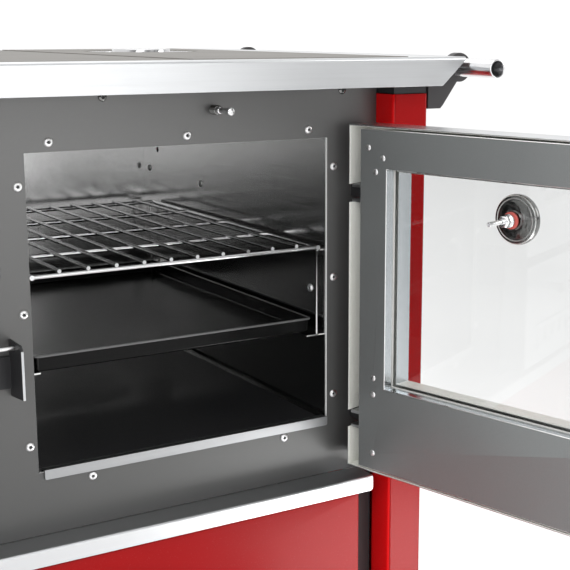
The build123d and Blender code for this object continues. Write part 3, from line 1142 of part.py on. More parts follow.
# ---------------------------------------------------------------- rails
with BuildPart() as rail_tubes:
    for side in (-1, 1):
        start = (side * RAIL_X, RAIL_FRONT, RAIL_Z)
        rod(BODY, start, BACK, RAIL_RADIUS, RAIL_REAR - RAIL_FRONT)
        rod(BODY, start, BACK, RAIL_RADIUS - RAIL_WALL, RAIL_REAR - RAIL_FRONT, Mode.SUBTRACT)
save(rail_tubes, "rail_tubes")

with BuildPart() as rail_brackets:
    near_x = HALF_WIDTH + JOIN_GAP
    foot_z = TOP_Z - BRACKET_DROP
    arm = [
        (near_x, foot_z), (near_x + BRACKET_FOOT, foot_z), (near_x + BRACKET_FOOT + 3.5, foot_z + 3.5),
        (RAIL_X - 3.3, RAIL_Z - 15.4), (RAIL_X - 8.0, RAIL_Z - 2.0), (near_x + 10.0, FASCIA_Z + 3.0),
        (near_x, FASCIA_Z + 3.0),
    ]
    for side in (-1, 1):
        outline = [(side * x, z) for x, z in arm]
        for start in (BRACKET_FRONT, BRACKET_REAR):
            prism(front_view(start + BRACKET_THICKNESS), outline, BRACKET_THICKNESS)
            rod(BODY, (side * RAIL_X, start, RAIL_Z), BACK, BOSS_RADIUS, BOSS_LENGTH)
            foot_x = sorted((side * near_x, side * (near_x + 3.0)))
            block(BODY, foot_x, (start, start + 34.0), (foot_z, COLUMN_TOP - 1))
            rod(BODY, (side * RAIL_X, start - 1, RAIL_Z), BACK, RAIL_RADIUS + 0.05, BOSS_LENGTH + 2,
                Mode.SUBTRACT)
save(rail_brackets, "rail_brackets")

# ---------------------------------------------------------------- flue and damper
with BuildPart() as flue_collar:
    collar_y = BACK_PANEL_Y - 2.0
    rod(BODY, (FLUE_X, collar_y, FLUE_HEIGHT), BACK, FLUE_RADIUS + FLUE_WALL, FLUE_LENGTH)
    rod(BODY, (FLUE_X, BACK_Y, FLUE_HEIGHT), BACK, FLUE_RADIUS + 20, 3)
    rod(BODY, (FLUE_X, collar_y - 1, FLUE_HEIGHT), BACK, FLUE_RADIUS, FLUE_LENGTH + 2, Mode.SUBTRACT)
save(flue_collar, "flue_collar")

with BuildPart() as damper_bushing:
    ribs = 5
    rib_pitch = BUSHING_LENGTH / ribs
    rod(BODY, (FLUE_X, PANEL_Y, DAMPER_Z), OUT, BUSHING_RADIUS - 0.8, BUSHING_LENGTH)
    for index in range(ribs):
        rod(BODY, (FLUE_X, PANEL_Y - index * rib_pitch, DAMPER_Z), OUT, BUSHING_RADIUS, rib_pitch * 0.6)
    rod(BODY, (FLUE_X, PANEL_Y, DAMPER_Z), BACK, 3.9, 8)
    rod(BODY, (FLUE_X, PANEL_Y - 30, DAMPER_Z), BACK, ROD_RADIUS + ROD_FIT, 60, Mode.SUBTRACT)
save(damper_bushing, "damper_bushing")

plate_front = BACK_PANEL_Y - 4.0 - DAMPER_PLATE_LENGTH
plate_z = OVEN_TOP + LINER_SHEET + SEAT_GAP
with BuildPart() as damper_rod:
    rod_end = plate_front + 12.0
    rod_start = PANEL_Y - KNOB_REACH + 1
    rod(BODY, (FLUE_X, rod_start, DAMPER_Z), BACK, ROD_RADIUS, rod_end - rod_start)
    rod(BODY, (FLUE_X, PANEL_Y - BUSHING_LENGTH - 0.5, DAMPER_Z), OUT, 3.6, 4.5)
    rod(BODY, (FLUE_X, PANEL_Y - 26.0, DAMPER_Z), OUT, KNOB_RADIUS - 0.6, 6.0)
    rod(BODY, (FLUE_X, PANEL_Y - 34.0, DAMPER_Z), OUT, KNOB_RADIUS, KNOB_REACH - 34.0)
save(damper_rod, "damper_rod")

with BuildPart() as damper_plate:
    half = DAMPER_PLATE_WIDTH / 2
    block(BODY, (FLUE_X - half, FLUE_X + half), (plate_front, plate_front + DAMPER_PLATE_LENGTH),
          (plate_z, plate_z + 3.0))
    block(BODY, (FLUE_X - 9, FLUE_X + 9), (plate_front, plate_front + 5.0), (plate_z, DAMPER_Z + 9.0))
    rod(BODY, (FLUE_X, plate_front - 1, DAMPER_Z), BACK, ROD_RADIUS + 0.02, 8, Mode.SUBTRACT)
save(damper_plate, "damper_plate")
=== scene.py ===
"""Finishes and fine detail for a wood cookstove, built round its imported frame.

Metres, +Z up, and the front faces -Y. Sheet-metal nodes come back with softened edges,
fasteners, wires and ribs are scattered with Geometry Nodes, and every surface gets a
procedural finish on object coordinates.
"""

import json
import math

import bmesh
import bpy
from bpy.props import FloatProperty, FloatVectorProperty, IntProperty, PointerProperty
from mathutils import Matrix, Vector


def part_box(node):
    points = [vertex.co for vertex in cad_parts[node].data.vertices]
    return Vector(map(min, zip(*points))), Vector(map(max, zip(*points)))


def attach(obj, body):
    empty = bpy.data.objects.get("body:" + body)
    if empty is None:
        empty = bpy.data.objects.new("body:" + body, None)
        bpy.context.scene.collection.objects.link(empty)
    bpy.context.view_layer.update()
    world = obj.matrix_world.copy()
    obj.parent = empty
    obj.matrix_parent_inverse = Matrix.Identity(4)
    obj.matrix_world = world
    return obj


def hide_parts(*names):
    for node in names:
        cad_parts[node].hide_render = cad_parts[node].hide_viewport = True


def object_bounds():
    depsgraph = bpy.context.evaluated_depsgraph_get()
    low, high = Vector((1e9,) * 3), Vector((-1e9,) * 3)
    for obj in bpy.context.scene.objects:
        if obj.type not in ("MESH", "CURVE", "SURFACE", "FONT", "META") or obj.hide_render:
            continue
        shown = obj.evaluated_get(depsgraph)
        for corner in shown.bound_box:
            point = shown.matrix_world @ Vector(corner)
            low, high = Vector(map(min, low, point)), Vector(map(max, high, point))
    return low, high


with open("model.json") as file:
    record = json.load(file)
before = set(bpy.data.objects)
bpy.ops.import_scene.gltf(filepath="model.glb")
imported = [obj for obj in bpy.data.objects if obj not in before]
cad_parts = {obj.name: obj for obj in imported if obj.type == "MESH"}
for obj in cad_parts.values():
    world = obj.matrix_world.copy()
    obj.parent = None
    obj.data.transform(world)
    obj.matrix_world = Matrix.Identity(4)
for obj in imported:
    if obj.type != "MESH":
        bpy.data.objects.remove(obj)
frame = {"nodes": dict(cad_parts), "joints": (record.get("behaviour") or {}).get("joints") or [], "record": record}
CAD_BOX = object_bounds()
NODES = frame["nodes"]
NEEDLE = next(joint for joint in frame["joints"] if joint["name"] == "thermometer_needle")
BODY_OF = {
    node: body
    for body, members in frame["record"]["behaviour"]["bodies"].items()
    for node in members
}

bl_info = {
    "name": "Wood Cookstove",
    "version": (1, 0, 0),
    "blender": (4, 5, 0),
    "location": "3D View > Sidebar > Cookstove",
    "description": "Finishes, fasteners and a studio for a wood cookstove",
    "category": "Object",
}

MM = 0.001
X_AXIS, Y_AXIS, Z_AXIS = Vector((1, 0, 0)), Vector((0, 1, 0)), Vector((0, 0, 1))

# Outward from the open oven door's face
DOOR_OUT = -Vector(NEEDLE["axis"])


# --- sizes and colours
def length_prop(name, description, millimetres, least=0.0):
    return FloatProperty(name=name, description=description, default=millimetres * MM,
                         min=least * MM, unit="LENGTH")


def count_prop(name, description, default, least=1):
    return IntProperty(name=name, description=description, default=default, min=least)


def colour_prop(name, description, *default):
    return FloatVectorProperty(name=name, description=description, default=default, size=3,
                               min=0.0, max=1.0, subtype="COLOR")


def light_prop(name, description, default, **limits):
    return FloatProperty(name=name, description=description, default=default, min=0.0, **limits)


class StoveSizes(bpy.types.PropertyGroup):
    """Sizes of the small details"""

    sheet_edge: length_prop("Sheet Edge", "Rounding along the edges of thin sheet", 0.35)
    fold: length_prop("Fold", "Rounding along the folds of the doors' inner frames", 0.7)
    plate_edge: length_prop("Plate Edge", "Rounding along the edges of plates and bars", 0.8)
    screw_head: length_prop("Screw Head", "Radius of the button-head screws", 4.4, 1.0)
    rivet_head: length_prop("Rivet Head", "Radius of the domed door rivets", 3.4, 1.0)
    rack_bar: length_prop("Rack Bar", "Radius of the rack's frame bars", 2.5, 0.5)
    rack_wire: length_prop("Rack Wire", "Radius of the rack's thin wires", 2.0, 0.5)
    rack_end_gap: length_prop("Rack End Gap", "Rack's rim to its first wire", 27.3)
    rack_wires: count_prop("Rack Wires", "Number of thin wires across the rack", 10, 2)
    rack_bars: count_prop("Rack Bars", "Number of bars under the wires", 5, 2)
    bushing_ribs: count_prop("Bushing Ribs", "Ribs round the damper bushing", 5)
    knob_ridges: count_prop("Knob Ridges", "Ridges round the damper knob", 28, 3)
    dial_ticks: count_prop("Dial Ticks", "Marks round the thermometer dial", 28, 3)


class StoveColours(bpy.types.PropertyGroup):
    """Base colours of the finishes"""

    enamel: colour_prop("Enamel", "Side panels and wood drawer", 0.365, 0.0032, 0.004)
    panel: colour_prop("Panel", "Front panel and other dark carcass sheets", 0.148, 0.148, 0.146)
    inner_frame: colour_prop("Inner Frame", "Dark frames on the inside of the doors", 0.235, 0.247, 0.247)
    stainless: colour_prop("Stainless", "Fascia, ledge, sill and the doors' skins", 0.63, 0.64, 0.65)
    liner: colour_prop("Liner", "Oven walls and their supports", 0.66, 0.66, 0.66)
    cooktop: colour_prop("Cooktop", "Ground steel cooking plates", 0.22, 0.21, 0.195)
    chrome: colour_prop("Chrome", "Rack, rails, screws and knobs", 0.86, 0.86, 0.87)
    firebrick: colour_prop("Firebrick", "Lining of the firebox", 0.56, 0.43, 0.30)


class StudioSettings(bpy.types.PropertyGroup):
    """Camera and light"""

    place: FloatVectorProperty(
        name="Camera Place", description="Where the camera stands",
        default=(-0.3995, -1.3865, 0.8795), size=3, unit="LENGTH")
    turn: FloatVectorProperty(
        name="Camera Turn", description="Camera rotation about X, Y and Z",
        default=tuple(math.radians(angle) for angle in (78.323, -0.112, -32.465)),
        size=3, subtype="EULER")
    lens: FloatProperty(
        name="Lens", description="Focal length in millimetres", default=78.42, min=10.0, unit="CAMERA")
    shift: FloatProperty(
        name="Shift", description="Sideways shift that keeps the photograph's framing", default=-0.0789)
    key_power: light_prop("Key Power", "The large light on the left", 19.0, unit="POWER")
    front_power: light_prop("Front Power", "The soft panel ahead of the stove", 7.0, unit="POWER")
    card_power: light_prop("Card Power", "The low card that shows as a sheen", 4.4, unit="POWER")
    side_power: light_prop("Side Power", "The light on the right", 12.0, unit="POWER")
    top_power: light_prop("Top Power", "The overhead light", 18.0, unit="POWER")
    air: light_prop("Air", "Strength of the even light all round", 1.12)
    ahead: light_prop("Ahead", "Tone of the room ahead of the stove", 0.22, max=1.0, subtype="FACTOR")


# --- finishes
class Wiring:
    """Fills a node tree. Sockets go by name, with underscores for spaces, and a node as a value
    stands for its first output."""

    def __init__(self, tree):
        self.tree = tree

    def add(self, kind, settings=None, **feeds):
        node = self.tree.nodes.new(kind)
        for key, value in (settings or {}).items():
            setattr(node, key, value)
        for label, value in feeds.items():
            name = label.replace("_", " ")
            self.feed(next(socket for socket in node.inputs if socket.enabled and socket.name == name), value)
        return node

    def feed(self, socket, value):
        if isinstance(value, bpy.types.Node):
            value = value.outputs[0]
        if isinstance(value, bpy.types.NodeSocket):
            self.tree.links.new(value, socket)
        elif hasattr(socket.default_value, "__len__") and len(value) < len(socket.default_value):
            socket.default_value = (*value, 1.0)
        else:
            socket.default_value = value

    def spread(self, value, low, high, start=0.3, end=0.7, shape="LINEAR"):
        """A pattern's range, the middle one if not given, carried to low..high."""
        return self.add("ShaderNodeMapRange", {"interpolation_type": shape}, Value=value, From_Min=start,
                        From_Max=end, To_Min=low, To_Max=high)

    def sum(self, first, second, operation="ADD"):
        node = self.add("ShaderNodeMath", {"operation": operation})
        for socket, value in zip(node.inputs, (first, second)):
            self.feed(socket, value)
        return node


class Recipe(Wiring):
    """Wires one procedural finish. Patterns are in metres, on object coordinates."""

    def __init__(self, name):
        self.material = bpy.data.materials.new(name)
        self.material.use_nodes = True
        super().__init__(self.material.node_tree)
        self.tree.nodes.clear()
        self.shader = self.add("ShaderNodeBsdfPrincipled")
        self.add("ShaderNodeOutputMaterial", Surface=self.shader)
        self.place = self.add("ShaderNodeTexCoord").outputs["Object"]

    def stretched(self, scale, centre=(0, 0, 0)):
        """Object coordinates about a centre, scaled differently along each axis."""
        start = [-c * s for c, s in zip(centre, scale)]
        return self.add("ShaderNodeMapping", Vector=self.place, Scale=scale, Location=start)

    def noise(self, scale, detail=4.0, roughness=0.55, distortion=0.0, on=None):
        return self.add("ShaderNodeTexNoise", Vector=on or self.place, Scale=scale, Detail=detail,
                        Roughness=roughness, Distortion=distortion)

    def cells(self, scale):
        return self.add("ShaderNodeTexVoronoi", Vector=self.place, Scale=scale)

    def blend(self, factor, first, second):
        """Colour between two colours."""
        return self.add("ShaderNodeMix", {"data_type": "RGBA"}, Factor=factor, A=first, B=second).outputs[2]

    def mottle(self, pattern, colour, low, high):
        """The colour, made darker or lighter where a pattern is low or high."""
        return self.blend(self.spread(pattern, 0.0, 1.0), shade(colour, low), shade(colour, high))

    def matt(self, pattern, low, high, other, below, above, *ends):
        """Roughness low..high by one pattern, moved up and down a little by another."""
        return self.sum(self.spread(pattern, low, high, *ends), self.spread(other, below, above))

    def bump(self, height, distance, strength, **under):
        return self.add("ShaderNodeBump", Height=height, Distance=distance, Strength=strength, **under)

    def set(self, **values):
        """Values or patterns for the surface shader's sockets."""
        for name, value in values.items():
            self.feed(self.shader.inputs[name.replace("_", " ")], value)
        return self.material


def shade(colour, factor):
    """A colour made lighter or darker."""
    return tuple(min(1.0, channel * factor) for channel in colour[:3])


def brushed(name, colour, roughness, along=0, grain=1.0, cloud=0.06, tint=(1.0, 1.0, 1.0), metallic=1.0):
    """Brushed sheet steel: long fine scratches along one axis over faint cloudy stains."""
    recipe = Recipe(name)
    fine, coarse = [1400.0] * 3, [260.0] * 3
    fine[along], coarse[along] = 14.0, 3.0
    scratches = recipe.noise(1.0, 5.0, 0.75, on=recipe.stretched(fine))
    streaks = recipe.noise(1.0, 3.0, 0.6, on=recipe.stretched(coarse))
    clouds = recipe.noise(5.0, 4.0, 0.5, 0.4)
    both = recipe.sum(recipe.spread(scratches, 0.0, 0.7), recipe.spread(streaks, 0.0, 0.3))
    dark = shade([c * t for c, t in zip(colour, tint)], 1.0 - 0.14 * grain - cloud)
    tone = recipe.blend(both, dark, shade(colour, 1.0 + 0.06 * grain))
    tone = recipe.blend(recipe.spread(clouds, 0.0, 0.35), tone, shade(colour, 1.0 - 2.0 * cloud))
    rough = recipe.matt(both, roughness - 0.05, roughness + 0.07, clouds, -0.03, 0.03, 0.0, 1.0)
    return recipe.set(Base_Color=tone, Metallic=metallic, Roughness=rough, Specular_IOR_Level=0.3,
                      Normal=recipe.bump(both, 0.00002 * grain, 0.6))


def satin_paint(name, colour, roughness, metallic, painted_low_shade=1.0):
    """Satin metallic paint: fine grain, faint orange peel and cloudy tone. A shade factor below 1 darkens it
    towards the bottom as painted shade.
    """
    recipe = Recipe(name)
    grain = recipe.noise(2600.0, 2.0, 0.6)
    peeled = recipe.noise(420.0, 2.0, 0.5)
    clouds = recipe.noise(3.2, 3.0, 0.5, 0.3)
    tone = recipe.mottle(grain, colour, 0.86, 1.14)
    tone = recipe.blend(recipe.spread(clouds, 0.0, 0.3), tone, shade(colour, 1.22))
    # painted shade: the colour goes darker towards the bottom, down to the shade factor
    if painted_low_shade < 1.0:
        height = recipe.add("ShaderNodeSeparateXYZ", Vector=recipe.place).outputs["Z"]
        tone = recipe.blend(recipe.spread(height, 1.0, 0.0, 0.28, 0.78), tone, shade(colour, painted_low_shade))
    rough = recipe.matt(grain, roughness - 0.04, roughness + 0.04, clouds, -0.03, 0.03)
    relief = recipe.bump(peeled, 0.00003, 0.5, Normal=recipe.bump(grain, 0.00001, 0.5))
    return recipe.set(Base_Color=tone, Metallic=metallic, Roughness=rough, Normal=relief)


def gloss_enamel(name, colour, roughness, coat, speck=0.0, shine=0.5):
    """Glossy stove enamel: a clear coat over a body with faint depth and soft waviness."""
    recipe = Recipe(name)
    waves = recipe.noise(46.0, 2.0, 0.4)
    peel = recipe.noise(620.0, 2.0, 0.5)
    clouds = recipe.noise(4.0, 3.0, 0.5, 0.2)
    dots = recipe.spread(recipe.cells(900.0), 1.0, 0.0, 0.02, 0.16)
    tone = recipe.mottle(clouds, colour, 0.92, 1.07)
    tone = recipe.blend(recipe.sum(dots, speck, "MULTIPLY"), tone, (0.35, 0.35, 0.36))
    relief = recipe.bump(peel, 0.00002, 0.35, Normal=recipe.bump(waves, 0.00015, 0.25))
    return recipe.set(Base_Color=tone, Roughness=recipe.spread(peel, roughness - 0.03, roughness + 0.04),
                      Normal=relief, Coat_Weight=coat, Coat_Roughness=0.08, Coat_Normal=relief,
                      Specular_IOR_Level=shine)


def polished(name, colour, roughness):
    """Bright plated or polished metal with faint smears and hairlines."""
    recipe = Recipe(name)
    smears = recipe.noise(1.0, 4.0, 0.6, 0.6, on=recipe.stretched((14.0, 22.0, 60.0)))
    hair = recipe.noise(1900.0, 2.0, 0.6)
    rough = recipe.matt(smears, roughness * 0.6, roughness * 1.5, hair, -0.01, 0.01)
    return recipe.set(Base_Color=recipe.mottle(smears, colour, 0.93, 1.04), Metallic=1.0,
                      Roughness=rough, Normal=recipe.bump(hair, 0.000004, 0.4))


def turned_plate(name, colour, centre, roughness, heat=0.0, heat_radius=0.16):
    """Ground plate with fine rings from turning round a centre, and a faint heat tint near it."""
    recipe = Recipe(name)
    flat = recipe.stretched((1.0, 1.0, 0.0), (centre[0], centre[1], 0.0))
    distance = recipe.add("ShaderNodeVectorMath", {"operation": "LENGTH"}, Vector=flat).outputs["Value"]
    along = recipe.add("ShaderNodeCombineXYZ", X=recipe.sum(distance, 1600.0, "MULTIPLY"))
    rings = recipe.noise(1.0, 3.0, 0.7, on=along)
    clouds = recipe.noise(9.0, 4.0, 0.6, 0.8)
    near = recipe.spread(distance, heat, 0.0, 0.02, heat_radius)
    straw = recipe.sum(near, recipe.spread(clouds, 0.4, 1.0), "MULTIPLY")
    tone = recipe.blend(straw, recipe.mottle(rings, colour, 0.86, 1.10), (0.42, 0.33, 0.22))
    rough = recipe.matt(rings, roughness - 0.05, roughness + 0.06, clouds, -0.04, 0.05)
    return recipe.set(Base_Color=tone, Metallic=1.0, Roughness=rough,
                      Normal=recipe.bump(rings, 0.00002, 0.6))


def rough_cast(name, colour, pits=340.0, depth=0.00022, roughness=0.7, metallic=0.4):
    """Sand-cast or fired surface: pitted, mottled and matt."""
    recipe = Recipe(name)
    lumps = recipe.noise(pits, 5.0, 0.65)
    grains = recipe.cells(pits * 1.7)
    clouds = recipe.noise(11.0, 5.0, 0.6, 0.5)
    tone = recipe.mottle(lumps, colour, 0.66, 1.25)
    tone = recipe.blend(recipe.spread(clouds, 0.0, 0.6), tone, shade(colour, 0.72))
    relief = recipe.bump(lumps, depth, 0.8, Normal=recipe.bump(grains, depth * 0.5, 0.5))
    return recipe.set(Base_Color=tone, Metallic=metallic, Normal=relief,
                      Roughness=recipe.spread(clouds, roughness - 0.08, roughness + 0.1))


def clear_glass(name):
    """Clear stove glass with the faintest smear."""
    recipe = Recipe(name)
    smears = recipe.noise(1.0, 2.0, 0.45, 0.5, on=recipe.stretched((5.0, 2.0, 4.0)))
    tone = recipe.blend(recipe.spread(smears, 0.0, 1.0), (0.74, 0.748, 0.745), (0.90, 0.905, 0.903))
    return recipe.set(Base_Color=tone, Roughness=recipe.spread(smears, 0.0, 0.025),
                      Transmission_Weight=1.0, IOR=1.45)


def woven_tape(name, colour):
    """Flat glass-fibre tape: a tight plain weave with a soft nap."""
    recipe = Recipe(name)
    cross = recipe.sum(*(
        recipe.add("ShaderNodeTexWave", {"bands_direction": direction}, Vector=recipe.place,
                   Scale=260.0, Distortion=0.6).outputs["Fac"] for direction in ("X", "Z")), "MULTIPLY")
    fuzz = recipe.noise(1500.0, 3.0, 0.7)
    tone = recipe.blend(recipe.sum(cross, fuzz, "MULTIPLY"), shade(colour, 0.8), shade(colour, 1.08))
    relief = recipe.bump(cross, 0.00025, 0.7, Normal=recipe.bump(fuzz, 0.00008, 0.5))
    return recipe.set(Base_Color=tone, Roughness=recipe.spread(fuzz, 0.82, 0.95), Sheen_Weight=0.3,
                      Normal=relief)


def soft_rubber(name, colour):
    """Moulded silicone with a dusty bloom."""
    recipe = Recipe(name)
    bloom = recipe.noise(260.0, 4.0, 0.6)
    fine = recipe.noise(1800.0, 2.0, 0.6)
    return recipe.set(Base_Color=recipe.mottle(bloom, colour, 0.85, 1.15),
                      Roughness=recipe.spread(bloom, 0.42, 0.56), Normal=recipe.bump(fine, 0.00003, 0.5))


def galvanised(name, colour, roughness=0.34):
    """Zinc-coated sheet with soft crystals of slightly different tone."""
    recipe = Recipe(name)
    spangle = recipe.cells(130.0)
    crystal = recipe.add("ShaderNodeSeparateColor", Color=spangle.outputs["Color"])
    cloud = recipe.noise(14.0, 4.0, 0.6)
    tone = recipe.blend(crystal, shade(colour, 0.92), shade(colour, 1.06))
    rough = recipe.matt(crystal.outputs[1], roughness - 0.03, roughness + 0.03, cloud, -0.04, 0.05,
                        0.0, 1.0)
    return recipe.set(Base_Color=tone, Metallic=1.0, Roughness=rough,
                      Normal=recipe.bump(recipe.noise(900.0), 0.00001, 0.5))


FINISHES = {}


def mix_finishes():
    """Makes every finish once, under the name that the pieces ask for."""
    colours = bpy.context.scene.stove_colours
    ring = middle_of("hotplate_ring")
    cover = middle_of("outlet_cover")
    FINISHES.update({
        "enamel": gloss_enamel("RedEnamel", colours.enamel, 0.24, 0.0, 0.0, 0.12),
        # the red enamel made 2.2 times lighter: painted light on the right panel's faces that look left
        "enamel_return": gloss_enamel("RedEnamelReturn", shade(colours.enamel, 2.2), 0.24, 0.0, 0.0, 0.12),
        # the dark panel gets painted shade, down to half its tone towards the bottom
        "panel": satin_paint("DarkPanelPaint", colours.panel, 0.38, 0.5, 0.5),
        "inner_frame": satin_paint("InnerFramePaint", colours.inner_frame, 0.38, 0.5),
        "black": satin_paint("BlackSteelPaint", (0.025, 0.025, 0.027), 0.45, 0.2),
        "bracket": satin_paint("BracketPaint", (0.045, 0.042, 0.044), 0.5, 0.2),
        "fascia": brushed("BrushedStainless", colours.stainless, 0.33, 0, 0.35, 0.03),
        # the stainless made darker for the sill strip, as painted shade
        "sill": brushed("SillSteel", shade(colours.stainless, 0.56), 0.33, 0, 0.35, 0.05),
        "upright_steel": brushed("UprightSteel", (0.52, 0.55, 0.57), 0.22, 2, 0.25, 0.03),
        "liner": brushed("OvenLinerSteel", colours.liner, 0.17, 1, 0.10, 0.05, (1.0, 1.0, 0.99)),
        "pan": brushed("DoorPanSteel", colours.stainless, 0.30, 2, 0.7),
        "primer": satin_paint("PalePrimer", (0.88, 0.89, 0.82), 0.45, 0.0),
        # near-white edges: partly bare cut metal, partly painted highlight
        "cut_edge": satin_paint("CutEdge", (0.88, 0.89, 0.88), 0.35, 0.2),
        "cooktop": brushed("GroundCooktop", colours.cooktop, 0.50, 0, 1.8, 0.14, (1.0, 0.97, 0.93), 0.5),
        "ring": turned_plate("TurnedHotplate", shade(colours.cooktop, 1.3), ring, 0.36, 0.25),
        "cover": turned_plate("PolishedCover", shade(colours.chrome, 0.72), cover, 0.16),
        "chrome": polished("Chrome", colours.chrome, 0.06),
        # a darker copy of the chrome as painted shade on the rack's wires and bars
        "wire": polished("RackWire", shade(colours.chrome, 0.66), 0.12),
        "tube": polished("PolishedTube", shade(colours.chrome, 0.9), 0.2),
        "dark_chrome": polished("DarkChrome", (0.2, 0.2, 0.195), 0.05),
        "fastener": polished("BrightFastener", (0.93, 0.93, 0.93), 0.34),
        # near-white metal used as a painted highlight on the doors' folds and the thermometer's rings
        "bright_fold": polished("BrightFold", (0.97, 0.97, 0.96), 0.30),
        "zinc": galvanised("ZincSheet", (0.55, 0.56, 0.57)),
        "tray_enamel": gloss_enamel("BlackEnamel", (0.008, 0.008, 0.008), 0.2, 0.0, 0.04, 0.35),
        # darker and lighter copies of the tray's enamel: painted shade on its forward faces, painted highlight on
        # its top edge
        "tray_side": gloss_enamel("TraySideEnamel", (0.004, 0.004, 0.004), 0.16, 0.0, 0.02, 0.12),
        "tray_lip": gloss_enamel("TrayLipEnamel", (0.10, 0.10, 0.10), 0.2, 0.3, 0.02, 0.6),
        "floor_enamel": gloss_enamel("OvenFloorEnamel", (0.018, 0.018, 0.019), 0.34, 0.2, 0.06),
        "cast_iron": rough_cast("CastIron", (0.07, 0.068, 0.066)),
        "firebrick": rough_cast("Firebrick", colours.firebrick, 210.0, 0.0004, 0.88, 0.0),
        "glass": clear_glass("StoveGlass"),
        "tape": woven_tape("GlassTape", (0.86, 0.86, 0.83)),
        "washer": soft_rubber("RedWasher", (0.62, 0.12, 0.10)),
        "needle": satin_paint("NeedleBlack", (0.012, 0.012, 0.013), 0.5, 0.0),
        "dial": gloss_enamel("DialFace", (0.86, 0.85, 0.80), 0.4, 0.1),
        "dial_ink": satin_paint("DialInk", (0.015, 0.015, 0.017), 0.6, 0.0),
        "dial_red": gloss_enamel("DialRed", (0.6, 0.02, 0.02), 0.4, 0.1),
    })


# --- making pieces
WELD = 0.002 * MM
FLAT_ANGLE = math.radians(0.6)
SHARP_ANGLE = math.radians(36)


def middle_of(node):
    """Centre of a node's box."""
    low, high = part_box(node)
    return (low + high) / 2


def reach(node, direction):
    """Nearest and farthest point of a node along a direction."""
    spans = [vertex.co.dot(direction) for vertex in NODES[node].data.vertices]
    return min(spans), max(spans)


def link(name, mesh):
    piece = bpy.data.objects.new(name, mesh)
    bpy.context.scene.collection.objects.link(piece)
    return piece


def frozen(piece):
    """The piece's mesh with its modifiers worked in."""
    graph = bpy.context.evaluated_depsgraph_get()
    return bpy.data.meshes.new_from_object(
        piece.evaluated_get(graph), preserve_all_data_layers=True, depsgraph=graph)


def settle(name, mesh, finishes, node, slot=None, keep_normals=False):
    """Links a finished mesh with its finishes to a node's body.

    It stands for the node, or is an extra piece where it has a slot of its own.
    """
    if not keep_normals:
        mesh.shade_smooth()
        mesh.set_sharp_from_angle(angle=SHARP_ANGLE)
    mesh.materials.clear()
    for finish in finishes:
        mesh.materials.append(FINISHES[finish])
    piece = link(name, mesh)
    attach(piece, BODY_OF[node])
    if not slot:
        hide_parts(node)


def welded(node):
    """A node's loose triangles joined up."""
    shell = bmesh.new()
    shell.from_mesh(NODES[node].data)
    bmesh.ops.remove_doubles(shell, verts=shell.verts, dist=WELD)
    return shell


def softened(node, finish, edge, others=(), where=None):
    """Stands in for a node with its sharp edges rounded. Where picks a face's finish by its number."""
    shell = welded(node)
    bmesh.ops.dissolve_limit(shell, angle_limit=FLAT_ANGLE, verts=shell.verts, edges=shell.edges)
    mesh = bpy.data.meshes.new(node)
    shell.to_mesh(mesh)
    shell.free()
    rough = link(f"{node}_rough", mesh)
    if edge > 0:
        bevel = rough.modifiers.new("Soft edges", "BEVEL")
        bevel.width = edge
        bevel.segments = 2
        bevel.limit_method = "ANGLE"
        bevel.angle_limit = SHARP_ANGLE
        bevel.use_clamp_overlap = False
        bevel.harden_normals = True
    done = frozen(rough)
    bpy.data.objects.remove(rough)
    settle(f"{node}_finished", done, [finish, *others], node, keep_normals=edge > 0)
    if where:
        for face in done.polygons:
            face.material_index = int(where(face.center, face.normal))


def soften_all(edge, **finishes):
    """Stands in for nodes that have one finish each."""
    for node, finish in finishes.items():
        softened(node, finish, edge)


def coat(node, finish):
    """Gives a node that stays as it is a finish."""
    NODES[node].data.materials.clear()
    NODES[node].data.materials.append(FINISHES[finish])


def eased(profile, radius, closed=False):
    """Profile points with every corner cut to a small three-point curve."""
    points = [Vector(point) for point in profile]
    result = []
    for index, corner in enumerate(points):
        if not closed and index in (0, len(points) - 1):
            result.append(corner)
            continue
        before, after = points[index - 1], points[(index + 1) % len(points)]
        near = min(radius, 0.45 * (before - corner).length, 0.45 * (after - corner).length)
        start = corner + (before - corner).normalized() * near
        end = corner + (after - corner).normalized() * near
        result += [start, (start + end) / 4 + corner / 2, end]
    return result


def turned(profile, ease=0.0, unit=MM, sides=72, closed=False, shell=None, place=Matrix()):
    """Shell turned about Z from (radius, height) points in a unit: solid from pole to pole, or a ring."""
    shell = shell or bmesh.new()
    points = [(radius * unit, height * unit) for radius, height in profile]
    rings = []
    for radius, height in eased(points, ease * unit, closed) if ease else points:
        if radius < WELD:
            rings.append([shell.verts.new(place @ Vector((0, 0, height)))])
            continue
        angles = [math.tau * step / sides for step in range(sides)]
        rings.append([
            shell.verts.new(place @ Vector((radius * math.cos(a), radius * math.sin(a), height)))
            for a in angles])
    pairs = list(zip(rings, rings[1:] + (rings[:1] if closed else [])))
    for low, high in pairs if closed else pairs[:len(rings) - 1]:
        for step in range(sides):
            after = (step + 1) % sides
            corners = [low[step % len(low)], low[after % len(low)],
                       high[after % len(high)], high[step % len(high)]]
            shell.faces.new(list(dict.fromkeys(corners)))
    return shell


def facing(point, direction):
    """Matrix that stands local Z along a direction at a point, with local Y kept upright."""
    turn = direction.to_track_quat("Z", "Y").to_matrix().to_4x4()
    return Matrix.Translation(point) @ turn


def mesh_of(shell, name):
    """Ends a shell as a mesh with outward faces."""
    bmesh.ops.remove_doubles(shell, verts=shell.verts, dist=WELD)
    bmesh.ops.recalc_face_normals(shell, faces=shell.faces)
    mesh = bpy.data.meshes.new(name)
    shell.to_mesh(mesh)
    shell.free()
    return mesh


